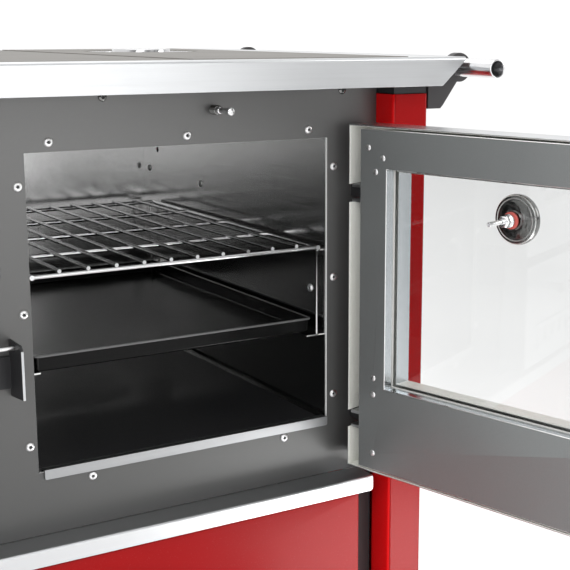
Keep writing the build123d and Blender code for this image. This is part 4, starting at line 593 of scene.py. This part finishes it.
# --- repeats by Geometry Nodes
class Repeat(Wiring):
    """A Geometry Nodes tree with named inputs that ends in Realize Instances and Set Material."""

    def __init__(self, name, **inputs):
        super().__init__(bpy.data.node_groups.new(name, "GeometryNodeTree"))
        sockets = self.tree.interface
        sockets.new_socket("Geometry", in_out="INPUT", socket_type="NodeSocketGeometry")
        for label, kind in {**inputs, "Finish": "Material"}.items():
            sockets.new_socket(label.replace("_", " "), in_out="INPUT",
                               socket_type=f"NodeSocket{kind}")
        sockets.new_socket("Geometry", in_out="OUTPUT", socket_type="NodeSocketGeometry")
        self.given = self.add("NodeGroupInput")

    def __getitem__(self, label):
        return self.given.outputs[label]

    def row(self):
        """Points from First on, each a Step further."""
        return self.add("GeometryNodeMeshLine", {"mode": "OFFSET"}, Count=self["Count"],
                        Start_Location=self["First"], Offset=self["Step"])

    def copies(self, points, shape, **turn):
        return self.add("GeometryNodeInstanceOnPoints", Points=points, Instance=shape, **turn)

    def end(self, geometry):
        real = self.add("GeometryNodeRealizeInstances", Geometry=geometry)
        painted = self.add("GeometryNodeSetMaterial", Geometry=real, Material=self["Finish"])
        self.add("NodeGroupOutput", Geometry=painted)
        return self

    def make(self, name, finish, mesh=None, **values):
        """Runs the tree once and returns its mesh."""
        carrier = link(f"{name}_carrier", mesh or bpy.data.meshes.new(name))
        modifier = carrier.modifiers.new("Repeat", "NODES")
        modifier.node_group = self.tree
        ids = {item.name: item.identifier for item in self.tree.interface.items_tree
               if item.in_out == "INPUT"}
        for label, value in values.items():
            modifier[ids[label.replace("_", " ")]] = value
        modifier[ids["Finish"]] = FINISHES[finish]
        made = frozen(carrier)
        bpy.data.objects.remove(carrier)
        return made


def fasteners_tree():
    """One shape on every point, standing along that point's facing direction."""
    tree = Repeat("Fasteners", Shape="Object")
    shape = tree.add("GeometryNodeObjectInfo", Object=tree["Shape"])
    ahead = tree.add("GeometryNodeInputNamedAttribute", {"data_type": "FLOAT_VECTOR"}, Name="facing")
    turn = tree.add("FunctionNodeAlignRotationToVector", {"axis": "Z"}, Vector=ahead)
    return tree.end(tree.copies(tree["Geometry"], shape.outputs["Geometry"], Rotation=turn))


def wires_tree():
    """Parallel round wires: a run repeated by a step."""
    tree = Repeat("Wires", Count="Int", First="Vector", Step="Vector", Run="Vector",
                  Radius="Float", Sides="Int")
    run = tree.add("GeometryNodeCurvePrimitiveLine", End=tree["Run"])
    ring = tree.add("GeometryNodeCurvePrimitiveCircle", Resolution=tree["Sides"], Radius=tree["Radius"])
    wire = tree.add("GeometryNodeCurveToMesh", Curve=run, Profile_Curve=ring, Fill_Caps=True)
    return tree.end(tree.copies(tree.row(), wire))


def ribs_tree():
    """Round ribs threaded on an axis: one ring repeated by a step, turned to the axis."""
    tree = Repeat("Ribs", Count="Int", First="Vector", Step="Vector", Turn="Rotation",
                  Ring_Radius="Float", Rib_Radius="Float")
    ring = tree.add("GeometryNodeCurvePrimitiveCircle", Resolution=48, Radius=tree["Ring Radius"])
    section = tree.add("GeometryNodeCurvePrimitiveCircle", Resolution=12, Radius=tree["Rib Radius"])
    rib = tree.add("GeometryNodeCurveToMesh", Curve=ring, Profile_Curve=section)
    return tree.end(tree.copies(tree.row(), rib, Rotation=tree["Turn"]))


def circle_tree():
    """Small bars round an arc, each pointing at its centre, carried to a place."""
    tree = Repeat("RoundACircle", Count="Int", Radius="Float", Start="Float", Sweep="Float",
                  Bar="Vector", Place="Vector", Turn="Rotation")
    arc = tree.add("GeometryNodeCurveArc", Resolution=tree["Count"], Radius=tree["Radius"],
                   Start_Angle=tree["Start"], Sweep_Angle=tree["Sweep"])
    spots = tree.add("GeometryNodeCurveToPoints", {"mode": "EVALUATED"}, Curve=arc)
    turn = tree.add("FunctionNodeAlignRotationToVector", {"axis": "X"},
                    Vector=tree.add("GeometryNodeInputPosition"))
    bars = tree.copies(spots, tree.add("GeometryNodeMeshCube", Size=tree["Bar"]), Rotation=turn)
    return tree.end(tree.add("GeometryNodeTransform", Geometry=bars, Translation=tree["Place"],
                             Rotation=tree["Turn"]))


def islands(node):
    """Boxes of a node's separate solids."""
    shell = welded(node)
    left, found = set(shell.verts), []
    while left:
        front = [left.pop()]
        group = []
        while front:
            vertex = front.pop()
            group.append(vertex.co.copy())
            for edge in vertex.link_edges:
                other = edge.other_vert(vertex)
                if other in left:
                    left.remove(other)
                    front.append(other)
        low = Vector([min(point[axis] for point in group) for axis in range(3)])
        high = Vector([max(point[axis] for point in group) for axis in range(3)])
        found.append((low, high))
    shell.free()
    return sorted(found, key=lambda box: tuple(round(value, 5) for value in box[0]))


def studs(name, spots):
    """Mesh of bare points, each with the direction it faces."""
    mesh = bpy.data.meshes.new(name)
    mesh.from_pydata([spot for spot, _ in spots], [], [])
    facing_layer = mesh.attributes.new("facing", "FLOAT_VECTOR", "POINT")
    for index, (_, direction) in enumerate(spots):
        facing_layer.data[index].vector = direction
    return mesh


def fasten(name, node, spots, shape_mesh, finish):
    """Sets one shape on every spot and lets it stand for the node's fasteners."""
    shape = link(f"{name}_shape", shape_mesh)
    made = fasteners_tree().make(name, finish, mesh=studs(name, spots), Shape=shape)
    bpy.data.objects.remove(shape)
    settle(name, made, [finish], node)


class StovePiece(bpy.types.Operator):
    """Shared part of the cookstove operators"""

    bl_options = {"REGISTER"}

    def execute(self, context):
        if not FINISHES:
            mix_finishes()
        self.build(context.scene.stove_sizes)
        return {"FINISHED"}


MOSTLY = 0.5  # least share of an axis in a normal that looks along it


def across_sheet(centre, normal):
    """Cut edges of sheets that stand upright across the stove. They take a near-white finish: bare cut metal,
    brightened further as a painted highlight.
    """
    return abs(normal.y) < MOSTLY


# --- carcass
class STOVE_OT_carcass(StovePiece):
    """Side panels, front panel, back, base and rails under the cooktop"""

    bl_idname = "stove.carcass"
    bl_label = "Carcass"

    def build(self, sizes):
        softened("left_side_panel", "enamel", sizes.sheet_edge)
        # the right panel's faces that look left take the lighter enamel as painted light
        softened("right_side_panel", "enamel", sizes.sheet_edge, ["enamel_return"],
                 lambda centre, normal: normal.x < -MOSTLY)
        softened("front_panel", "panel", sizes.sheet_edge, ["cut_edge"], across_sheet)
        # the sill strip takes the darker stainless as painted shade
        # the top rail takes black paint instead of the panel's, as painted shade in the dark gap under the cooktop
        soften_all(sizes.sheet_edge, back_panel="panel", soot_cover="panel", base_tray="bracket",
                   drawer_bay_sides="bracket", top_rail="black", ledge_trim="fascia", sill_strip="sill")


class STOVE_OT_cooktop(StovePiece):
    """Folded stainless top with its plates, hotplate ring, lid and outlet cover"""

    bl_idname = "stove.cooktop"
    bl_label = "Cooktop"

    def build(self, sizes):
        softened("top_frame", "fascia", sizes.sheet_edge)
        soften_all(sizes.plate_edge, cooktop_left_plate="cooktop", cooktop_right_plate="cooktop",
                   hotplate_ring="ring", hotplate_lid="ring", outlet_cover="cover")


# --- oven
# the tray's top edge is given a lighter enamel as a painted highlight
TRAY_LIP = 2.5 * MM  # height of the tray's paler top edge
TRAY_EDGE = 0.3 * MM
TRAY_FRONT = -0.3  # a normal with less of Y than this faces forward


class STOVE_OT_oven(StovePiece):
    """Oven liner, floor, side supports and the enamelled tray"""

    bl_idname = "stove.oven"
    bl_label = "Oven"

    def build(self, sizes):
        softened("oven_liner", "liner", 0)
        softened("oven_floor_plate", "floor_enamel", sizes.sheet_edge)
        softened("side_supports", "liner", 0)
        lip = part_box("oven_tray")[1].z - TRAY_LIP

        # top edge: lighter enamel as painted highlight; forward faces: darker enamel as painted shade
        def lip_or_side(centre, normal):
            if centre.z > lip:
                return 2
            return 1 if normal.y < TRAY_FRONT else 0

        softened("oven_tray", "tray_enamel", TRAY_EDGE, ["tray_side", "tray_lip"], lip_or_side)


class STOVE_OT_rack(StovePiece):
    """Chromed wire rack: bars under thin wires, with a welded rim"""

    bl_idname = "stove.rack"
    bl_label = "Oven Rack"

    def build(self, sizes):
        low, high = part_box("oven_rack")
        bar, wire, end = sizes.rack_bar, sizes.rack_wire, sizes.rack_end_gap
        left, right, bar_z = low.x + bar, high.x - bar, low.z + bar
        width, depth = Vector((right - left, 0, 0)), Vector((0, high.y - low.y, 0))
        pitch = (high.y - low.y - 2 * bar) / (sizes.rack_bars - 1)
        gap = (right - left - 2 * end) / (sizes.rack_wires - 1)
        tree = wires_tree()
        # wires and bars take the darker chrome as painted shade; the rim keeps the bright chrome
        for name, finish, count, first, step, run, radius, sides in (
                ("rack_crossbars", "wire", sizes.rack_bars, (left, low.y + bar, bar_z), (0, pitch, 0),
                 width, bar, 20),
                ("rack_rim", "chrome", 2, (left, low.y, bar_z), width, depth, bar, 20),
                ("rack_wires", "wire", sizes.rack_wires, (left + end, low.y, high.z - wire),
                 (gap, 0, 0), depth, wire, 16)):
            row = tree.make(name, finish, Count=count, First=first, Step=step, Run=run, Radius=radius,
                            Sides=sides)
            settle(name, row, [finish], "oven_rack")


# --- fasteners
SCREW_RISE = 2.2 * MM  # height of the screws' heads
# screw heads in this band take dark chrome as painted shade
TOP_SHADE = 15 * MM  # depth of the shaded band under the cooktop


def socket_floor(radius):
    """Black disc at the bottom of a screw's socket, as painted shade in the recess."""
    disc = turned([(0, 0.1), (0.36, 0.1), (0.36, 0.2), (0, 0.2)], unit=radius, sides=24)
    return mesh_of(disc, "socket_floor")


LOBES, LOBE_DEPTH, LOBE_BIAS = 6, 0.07, 0.4  # the socket's lobes, in the head's radius
SOCKET_RIM = (0.3, 0.56)  # span of the socket's walls, in the head's radius


def button_head(radius):
    """Button-head screw with a rolled washer rim and a six-lobed socket."""
    shell = turned([(0, -0.4), (0.9, -0.4), (1, 0), (1, 0.12), (0.82, 0.36), (0.46, 0.49), (0.46, 0.1),
                    (0, 0.1)], 0.06, radius, sides=30)
    inner, outer = (share * radius for share in SOCKET_RIM)
    for vertex in shell.verts:
        across = Vector((vertex.co.x, vertex.co.y, 0))
        if inner < across.length < outer and vertex.co.z > 0.05 * radius:
            wave = math.cos(LOBES * math.atan2(across.y, across.x)) - LOBE_BIAS
            vertex.co += across.normalized() * radius * LOBE_DEPTH * wave
    return mesh_of(shell, "button_head")


def domed_rivet(radius):
    """Rivet with a low dome."""
    steps, rise = 5, 0.32
    angles = [math.pi / 2 * step / steps for step in range(steps)]
    dome = [(math.cos(angle), rise * math.sin(angle)) for angle in angles]
    shell = turned([(0, -0.3), (0.94, -0.3), *dome, (0, rise)], unit=radius, sides=24)
    return mesh_of(shell, "domed_rivet")


class STOVE_OT_screws(StovePiece):
    """Button-head screws on the front panel and on the oven walls"""

    bl_idname = "stove.screws"
    bl_label = "Panel Screws"

    def build(self, sizes):
        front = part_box("front_panel")[0].y
        middle = middle_of("oven_floor_plate").x
        spots = []
        for low, high in islands("panel_screws"):
            centre = (low + high) / 2
            if low.y < front:
                spots.append(((centre.x, front, centre.z), -Y_AXIS))
            elif centre.x < middle:
                spots.append(((high.x - SCREW_RISE, centre.y, centre.z), X_AXIS))
            else:
                spots.append(((low.x + SCREW_RISE, centre.y, centre.z), -X_AXIS))
        head = sizes.screw_head
        under_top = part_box("top_frame")[0].z - TOP_SHADE
        shaded = [spot for spot in spots if spot[0][2] > under_top]
        lit = [spot for spot in spots if spot not in shaded]
        fasten("panel_screw_heads", "panel_screws", lit, button_head(head), "fastener")
        # heads under the cooktop take dark chrome as painted shade
        fasten("top_screw_heads", "panel_screws", shaded, button_head(head), "dark_chrome")
        # black discs as painted shade in the screws' sockets
        fasten("panel_screw_sockets", "panel_screws", spots, socket_floor(head), "black")


class STOVE_OT_rivets(StovePiece):
    """Domed rivets on the inside of the oven door"""

    bl_idname = "stove.rivets"
    bl_label = "Door Rivets"

    def build(self, sizes):
        face = reach("oven_door_frame", DOOR_OUT)[0]
        spots = []
        for low, high in islands("oven_door_rivets"):
            centre = (low + high) / 2
            spots.append((centre + DOOR_OUT * (face - centre.dot(DOOR_OUT)), -DOOR_OUT))
        fasten("door_rivet_heads", "oven_door_rivets", spots, domed_rivet(sizes.rivet_head), "fastener")


# --- doors
FLAT_ON, FOLDED = 0.97, 0.2  # how squarely a frame's flat face and its rounded folds look outward
INNER_SHARE = 0.85  # share of a pan's half width that its window sides lie within


class STOVE_OT_doors(StovePiece):
    """Both doors: pan, inner frame, glass, seal, hinge brackets and lugs"""

    bl_idname = "stove.doors"
    bl_label = "Doors"

    def build(self, sizes):
        for prefix, out in (("oven", DOOR_OUT), ("fire", -Y_AXIS)):
            middle = middle_of(f"{prefix}_door_pan")
            near, far = reach(f"{prefix}_door_pan", out.cross(Z_AXIS))
            window_depth = INNER_SHARE * (far - near) / 2

            # flat faces keep the frame's paint, rounded folds get a painted highlight, returns get bare steel
            def rim_or_return(centre, normal):
                turn = abs(normal.dot(out))
                return 0 if turn > FLAT_ON else 1 if turn > FOLDED else 2

            def inside(centre, normal):
                depth = (middle - centre).dot(normal)
                if depth <= 0:
                    return 0
                upright = abs(normal.z) < MOSTLY and abs(normal.dot(out)) < MOSTLY
                return 2 if upright and depth < window_depth else 1

            softened(f"{prefix}_door_pan", "pan", sizes.sheet_edge, ["primer", "upright_steel"], inside)
            softened(f"{prefix}_door_frame", "inner_frame", sizes.fold, ["bright_fold", "upright_steel"],
                     rim_or_return)
            softened(f"{prefix}_hinge_brackets", "zinc", 0)
            coat(f"{prefix}_door_glass", "glass")
        softened("oven_glass_seal", "tape", 0)
        softened("hinge_lugs", "black", sizes.sheet_edge)


# the keepers' front edge takes a lighter zinc finish: bare metal, brightened as a painted highlight
KEEPER_TIP = 1.0 * MM  # depth of the keepers' bare front edge


class STOVE_OT_latches(StovePiece):
    """Latch spindles with their grips, and the keepers with their pins"""

    bl_idname = "stove.latches"
    bl_label = "Latches"

    def build(self, sizes):
        for prefix in ("oven", "fire"):
            softened(f"{prefix}_latch_spindle", "zinc", sizes.sheet_edge)
            softened(f"{prefix}_handle_grip", "tube", 0)
        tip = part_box("door_keepers")[0].y + KEEPER_TIP
        softened("door_keepers", "black", sizes.sheet_edge, ["zinc"],
                 lambda centre, normal: centre.y < tip)
        softened("keeper_pins", "fastener", sizes.plate_edge)


# --- thermometer
DIAL_LOW, DIAL_HIGH = math.radians(-135), math.radians(135)
HOT_FROM = math.radians(81)
DIAL_TOP = 500  # last number of the scale
PRINT = 0.05 * MM  # height of the printed numbers
CASE_RIM, CASE_FLOOR, BORE = 25.0, 4.0, 2.4  # millimetres: the case's radius, its floor and its hole
DIAL_RIM, DIAL_GAP, DIAL_FACE = 23.3, 0.02, 0.35  # millimetres: radius, clearance and thickness
TICK_RING, TICK_RISE = 21.2 * MM, 0.08 * MM
NUMBER_RING, NUMBER_HEIGHT = 15.2 * MM, 4.2 * MM
HOT_BAND = (20.6 * MM, 22.6 * MM)
# rings of the case that get a painted highlight
PAINTED_HIGHLIGHT_RINGS = ((20.3, 21.4), (23.4, 24.4))  # millimetres: the case's bright ridges
WASHER_EDGE = 0.4 * MM


def dial_numbers(place, radius, height):
    """Plain temperature numbers round the dial, as one mesh."""
    shell = bmesh.new()
    for number in range(0, DIAL_TOP + 1, 100):
        angle = DIAL_LOW + (DIAL_HIGH - DIAL_LOW) * number / DIAL_TOP
        text = bpy.data.curves.new("number", "FONT")
        text.body, text.size = str(number), height
        text.align_x, text.align_y = "CENTER", "CENTER"
        text.extrude = PRINT
        carrier = link("number", text)
        flat = frozen(carrier)
        bpy.data.objects.remove(carrier)
        spot = Vector((radius * math.sin(angle), radius * math.cos(angle), PRINT))
        flat.transform(place @ Matrix.Translation(spot))
        shell.from_mesh(flat)
        bpy.data.meshes.remove(flat)
    return mesh_of(shell, "numbers")


def dial_arc(place, inner, outer, start, end, height, steps=24):
    """Thin raised band round part of the dial."""
    shell = bmesh.new()
    rows = []
    for step in range(steps + 1):
        angle = start + (end - start) * step / steps
        across = Vector((math.sin(angle), math.cos(angle), 0))
        rows.append([shell.verts.new(place @ (across * r + Vector((0, 0, z))))
                     for r, z in ((inner, 0), (outer, 0), (outer, height), (inner, height))])
    for before, after in zip(rows, rows[1:]):
        for side in range(4):
            shell.faces.new([before[side], before[side - 1], after[side - 1], after[side]])
    shell.faces.new(rows[0])
    shell.faces.new(rows[-1][::-1])
    return mesh_of(shell, "arc")


class STOVE_OT_thermometer(StovePiece):
    """Thermometer in the oven door's glass: case, lens, dial, nut, washer, stem and needle"""

    bl_idname = "stove.thermometer"
    bl_label = "Thermometer"

    def build(self, sizes):
        axis_point = Vector(NEEDLE["pos_m"])

        def at(distance):
            return facing(axis_point + DOOR_OUT * (distance - axis_point.dot(DOOR_OUT)), DOOR_OUT)

        back, front = reach("thermometer_case", DOOR_OUT)
        deep, wall = (front - back) / MM, CASE_RIM - 1.5
        case = mesh_of(turned([
            (BORE, 0), (8.8, 0), (9.6, 0.8), (11.4, 0.5), (14.5, 0.9), (18.0, 1.7), (20.2, 2.6),
            (20.9, 2.2), (21.6, 2.6), (23.6, 3.2), (24.5, 4.2), (CASE_RIM, 5.4), (CASE_RIM, deep),
            (wall, deep), (wall, CASE_FLOOR), (BORE, CASE_FLOOR)],
            0.5, sides=96, closed=True, place=at(back)), "case")
        settle("thermometer_case_turned", case, ["dark_chrome", "bright_fold"], "thermometer_case")
        # faces on these rings take the near-white finish as a painted highlight
        for face in case.polygons:
            spoke = face.center - axis_point
            spoke -= DOOR_OUT * spoke.dot(DOOR_OUT)
            distance = spoke.length / MM
            face.material_index = int(any(low < distance < high for low, high in PAINTED_HIGHLIGHT_RINGS))

        floor = back + (CASE_FLOOR + DIAL_GAP) * MM
        level = floor + DIAL_FACE * MM
        face = at(level)
        dial = turned([(0, 0), (DIAL_RIM, 0), (DIAL_RIM, DIAL_FACE), (0, DIAL_FACE)], 0.1, sides=96,
                      place=at(floor))
        ticks = circle_tree().make(
            "thermometer_ticks", "dial_ink", Count=sizes.dial_ticks, Radius=TICK_RING,
            Start=math.radians(-45), Sweep=DIAL_HIGH - DIAL_LOW,
            Bar=(2.6 * MM, 0.3 * MM, 0.12 * MM), Place=at(level + TICK_RISE).translation,
            Turn=face.to_euler())
        for name, mesh, finish, slot in (
                ("dial", mesh_of(dial, "dial"), "dial", "stainless"),
                ("numbers", dial_numbers(face, NUMBER_RING, NUMBER_HEIGHT), "dial_ink", "needle_black"),
                ("hot_band", dial_arc(face, *HOT_BAND, HOT_FROM, DIAL_HIGH, TICK_RISE), "dial_red",
                 "red_enamel"),
                ("ticks", ticks, "dial_ink", "needle_black")):
            settle(f"thermometer_{name}", mesh, [finish], "thermometer_case", slot)

        softened("thermometer_pointer", "needle", 0)
        coat("thermometer_lens", "glass")
        near, far = reach("thermometer_nut", DOOR_OUT)
        long = (far - near) / MM
        hexed = long - 4.0
        nut = turned([(BORE, 0), (5.0, 0), (6.2, 0.8), (6.2, hexed), (BORE, hexed)], 0.5, sides=6,
                     closed=True, place=at(near))
        turned([(BORE, hexed), (6.9, hexed), (6.9, hexed + 2.2), (6.2, long), (BORE, long)], 0.4,
               sides=40, closed=True, shell=nut, place=at(near))
        settle("thermometer_nut_turned", mesh_of(nut, "nut"), ["chrome"], "thermometer_nut")
        softened("thermometer_washer", "washer", WASHER_EDGE)
        near, far = reach("thermometer_stem", DOOR_OUT)
        long = (far - near) / MM
        stem = turned([(0, 3.0), (1.3, 3.0), (1.5, 0), (BORE, 0), (BORE, long), (0, long)], 0.3,
                      sides=32, place=at(near))
        settle("thermometer_stem_turned", mesh_of(stem, "stem"), ["chrome"], "thermometer_stem")


# --- damper, rails and flue
ROD, KNOB = 2.5, 4.0  # millimetres: radii of the damper's rod and of its knob
RIB = 1.1 * MM  # radius of the bushing's ribs
TUBE_WALL = 1.5  # millimetres


class STOVE_OT_damper(StovePiece):
    """Damper rod with its knob, ribbed bushing and plate"""

    bl_idname = "stove.damper"
    bl_label = "Damper"

    def build(self, sizes):
        low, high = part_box("damper_rod")
        centre = middle_of("damper_rod")
        place = facing(Vector((centre.x, high.y, centre.z)), -Y_AXIS)
        length = (high.y - low.y) / MM
        back_from_tip = [
            (ROD, 28.0), (3.6, 27.5), (3.6, 23.0), (ROD, 22.4), (ROD, 13.0), (3.4, 12.0), (3.4, 7.5),
            (ROD + 0.3, 6.5), (KNOB - 0.25, 5.5), (KNOB - 0.25, 0.6), (KNOB - 0.9, 0), (0, 0)]
        rod = turned([(0, 0), (ROD, 0), *((radius, length - back) for radius, back in back_from_tip)],
                     0.3, sides=40, place=place)
        settle("damper_rod_turned", mesh_of(rod, "rod"), ["chrome"], "damper_rod")
        ridges = circle_tree().make(
            "damper_knob_ridges", "chrome", Count=sizes.knob_ridges, Radius=(KNOB - 0.35) * MM,
            Start=0.0, Sweep=math.tau * (1 - 1 / sizes.knob_ridges),
            Bar=(0.6 * MM, 0.4 * MM, 4.2 * MM), Turn=place.to_euler(),
            Place=Vector((centre.x, low.y + 3.0 * MM, centre.z)))
        settle("damper_knob_ridges", ridges, ["chrome"], "damper_rod")
        softened("damper_plate", "zinc", sizes.sheet_edge)

        low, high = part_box("damper_bushing")
        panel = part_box("front_panel")[0].y
        out = panel - low.y
        core = turned([(2.6, -7.0), (3.8, -7.0), (3.8, 0.2), (4.2, 0.2), (4.2, out / MM),
                       (2.6, out / MM)], 0.3, sides=40, closed=True,
                      place=facing(Vector((centre.x, panel, centre.z)), -Y_AXIS))
        settle("damper_bushing_core", mesh_of(core, "core"), ["dark_chrome"], "damper_bushing")
        ribs = ribs_tree().make(
            "damper_bushing_ribs", "dark_chrome", Count=sizes.bushing_ribs,
            First=(centre.x, panel - RIB, centre.z), Step=(0, -out / sizes.bushing_ribs, 0),
            Turn=place.to_euler(), Ring_Radius=high.x - centre.x - RIB, Rib_Radius=RIB)
        settle("damper_bushing_ribs", ribs, ["dark_chrome"], "damper_bushing")


class STOVE_OT_rails(StovePiece):
    """Towel rail tubes and their brackets"""

    bl_idname = "stove.rails"
    bl_label = "Rails"

    def build(self, sizes):
        shell = bmesh.new()
        for low, high in islands("rail_tubes"):
            centre = (low + high) / 2
            radius, length = (high.z - low.z) / 2 / MM, (high.y - low.y) / MM
            turned([(radius - TUBE_WALL, 0), (radius, 0), (radius, length), (radius - TUBE_WALL, length)],
                   0.5, closed=True, shell=shell,
                   place=facing(Vector((centre.x, high.y, centre.z)), -Y_AXIS))
        settle("rail_tubes_turned", mesh_of(shell, "tubes"), ["tube"], "rail_tubes")
        softened("rail_brackets", "bracket", sizes.sheet_edge)


class STOVE_OT_flue(StovePiece):
    """Flue collar with its flange"""

    bl_idname = "stove.flue"
    bl_label = "Flue Collar"

    def build(self, sizes):
        softened("flue_collar", "black", sizes.sheet_edge)


# --- firebox and drawers
class STOVE_OT_firebox(StovePiece):
    """Firebox casing, bricks and grate"""

    bl_idname = "stove.firebox"
    bl_label = "Firebox"

    def build(self, sizes):
        softened("firebox_casing", "bracket", sizes.sheet_edge)
        soften_all(sizes.plate_edge, firebricks="firebrick", grate="cast_iron")


class STOVE_OT_drawers(StovePiece):
    """Ash drawer with its air slider, and the wood drawer"""

    bl_idname = "stove.drawers"
    bl_label = "Drawers"

    def build(self, sizes):
        soften_all(sizes.sheet_edge, ash_drawer_front="pan", air_slider="fascia", ash_pan="zinc")
        softened("wood_drawer_front", "enamel", 0)
        softened("wood_drawer_box", "zinc", sizes.sheet_edge)
        softened("wood_drawer_handle", "tube", sizes.plate_edge)


# --- stage
DARK_BEHIND, DARK_BELOW = (-0.55, 0.05), (0.22, 0.62)  # where the dark room turns white, along Y and Z
FLOOR_TONES = ((0.955, 0.955, 0.955), (0.97, 0.97, 0.97))
FLOOR_HALF, FLOOR_DROP = 55.0, 0.2 * MM


def area_light(name, place, target, size, power):
    light = bpy.data.lights.new(name, "AREA")
    light.shape, light.size, light.energy = "DISK", size, power
    carrier = link(name, light)
    carrier.location = place
    carrier.rotation_euler = (Vector(target) - Vector(place)).to_track_quat("-Z", "Y").to_euler()
    carrier.visible_camera = False
    return carrier


def surroundings(strength, ahead):
    """World that is white, but for a darker room low down ahead of the stove."""
    world = bpy.data.worlds.new("Studio")
    world.use_nodes = True
    wiring = Wiring(world.node_tree)
    place = wiring.add("ShaderNodeTexCoord").outputs["Generated"]
    split = wiring.add("ShaderNodeSeparateXYZ", Vector=place).outputs
    behind = wiring.spread(split["Y"], 0.0, 1.0, *DARK_BEHIND, "SMOOTHSTEP")
    above = wiring.spread(split["Z"], 0.0, 1.0, *DARK_BELOW, "SMOOTHSTEP")
    tone = wiring.spread(wiring.sum(behind, above, "MAXIMUM"), ahead, 1.0, 0.0, 1.0)
    sky = world.node_tree.nodes["Background"].inputs
    wiring.feed(sky["Color"], tone)
    wiring.feed(sky["Strength"], strength)
    return world


class STOVE_OT_studio(bpy.types.Operator):
    """Pale floor, soft light and the camera"""

    bl_idname = "stove.studio"
    bl_label = "Studio"

    def execute(self, context):
        studio = context.scene.studio_settings
        recipe = Recipe("PaleFloor")
        clouds = recipe.noise(1.5, 3.0)
        grain = recipe.noise(320.0, 3.0)
        tone = recipe.blend(recipe.spread(clouds, 0.0, 1.0), *FLOOR_TONES)
        recipe.set(Base_Color=tone, Roughness=0.75, Normal=recipe.bump(grain, 0.0001, 0.2))
        mesh = bpy.data.meshes.new("floor")
        corners = ((-1, -1), (1, -1), (1, 1), (-1, 1))
        mesh.from_pydata([(x * FLOOR_HALF, y * FLOOR_HALF, -FLOOR_DROP) for x, y in corners],
                         [], [(0, 1, 2, 3)])
        mesh.materials.append(recipe.material)
        link("floor", mesh)

        context.scene.world = surroundings(studio.air, studio.ahead)
        middle = (CAD_BOX[0] + CAD_BOX[1]) / 2
        card = area_light("low_card", (0.70, -0.70, 0.03), (0.66, -0.62, 0.31), 0.44, studio.card_power)
        card.visible_diffuse = False
        for name, place, size, power in (
                ("key_light", (-1.7, -2.6, 2.1), 1.6, studio.key_power),
                ("front_light", (0.78, -2.75, 0.95), 1.1, studio.front_power),
                ("side_light", (2.6, -1.4, 1.5), 1.2, studio.side_power),
                ("top_light", (0.2, 0.3, 2.9), 2.2, studio.top_power)):
            area_light(name, place, middle, size, power)

        camera = bpy.data.cameras.new("camera")
        camera.lens, camera.sensor_width, camera.shift_x = studio.lens, 36.0, studio.shift
        camera.clip_start, camera.clip_end = 0.05, 60.0
        carrier = link("camera", camera)
        carrier.location, carrier.rotation_euler = studio.place, studio.turn
        context.scene.camera = carrier
        context.scene.view_settings.view_transform = "Standard"
        return {"FINISHED"}


PIECES = (
    STOVE_OT_carcass, STOVE_OT_cooktop, STOVE_OT_oven, STOVE_OT_rack, STOVE_OT_screws,
    STOVE_OT_doors, STOVE_OT_rivets, STOVE_OT_latches, STOVE_OT_thermometer, STOVE_OT_damper,
    STOVE_OT_rails, STOVE_OT_flue, STOVE_OT_firebox, STOVE_OT_drawers,
)


class STOVE_PT_panel(bpy.types.Panel):
    """Lists the cookstove's operators and sizes"""

    bl_idname = "STOVE_PT_panel"
    bl_label = "Cookstove"
    bl_space_type = "VIEW_3D"
    bl_region_type = "UI"
    bl_category = "Cookstove"

    def draw(self, context):
        column = self.layout.column(align=True)
        for operator in (*PIECES, STOVE_OT_studio):
            column.operator(operator.bl_idname)
        for settings in (context.scene.stove_sizes, context.scene.stove_colours,
                         context.scene.studio_settings):
            box = self.layout.box()
            for name in settings.__annotations__:
                box.prop(settings, name)


CLASSES = (StoveSizes, StoveColours, StudioSettings, *PIECES, STOVE_OT_studio, STOVE_PT_panel)


def register():
    for cls in CLASSES:
        bpy.utils.register_class(cls)
    bpy.types.Scene.stove_sizes = PointerProperty(type=StoveSizes)
    bpy.types.Scene.stove_colours = PointerProperty(type=StoveColours)
    bpy.types.Scene.studio_settings = PointerProperty(type=StudioSettings)


def unregister():
    del bpy.types.Scene.studio_settings
    del bpy.types.Scene.stove_colours
    del bpy.types.Scene.stove_sizes
    for cls in reversed(CLASSES):
        bpy.utils.unregister_class(cls)


def main():
    register()
    for operator in (*PIECES, STOVE_OT_studio):
        family, action = operator.bl_idname.split(".")
        getattr(getattr(bpy.ops, family), action)()


if __name__ == "__main__":
    main()
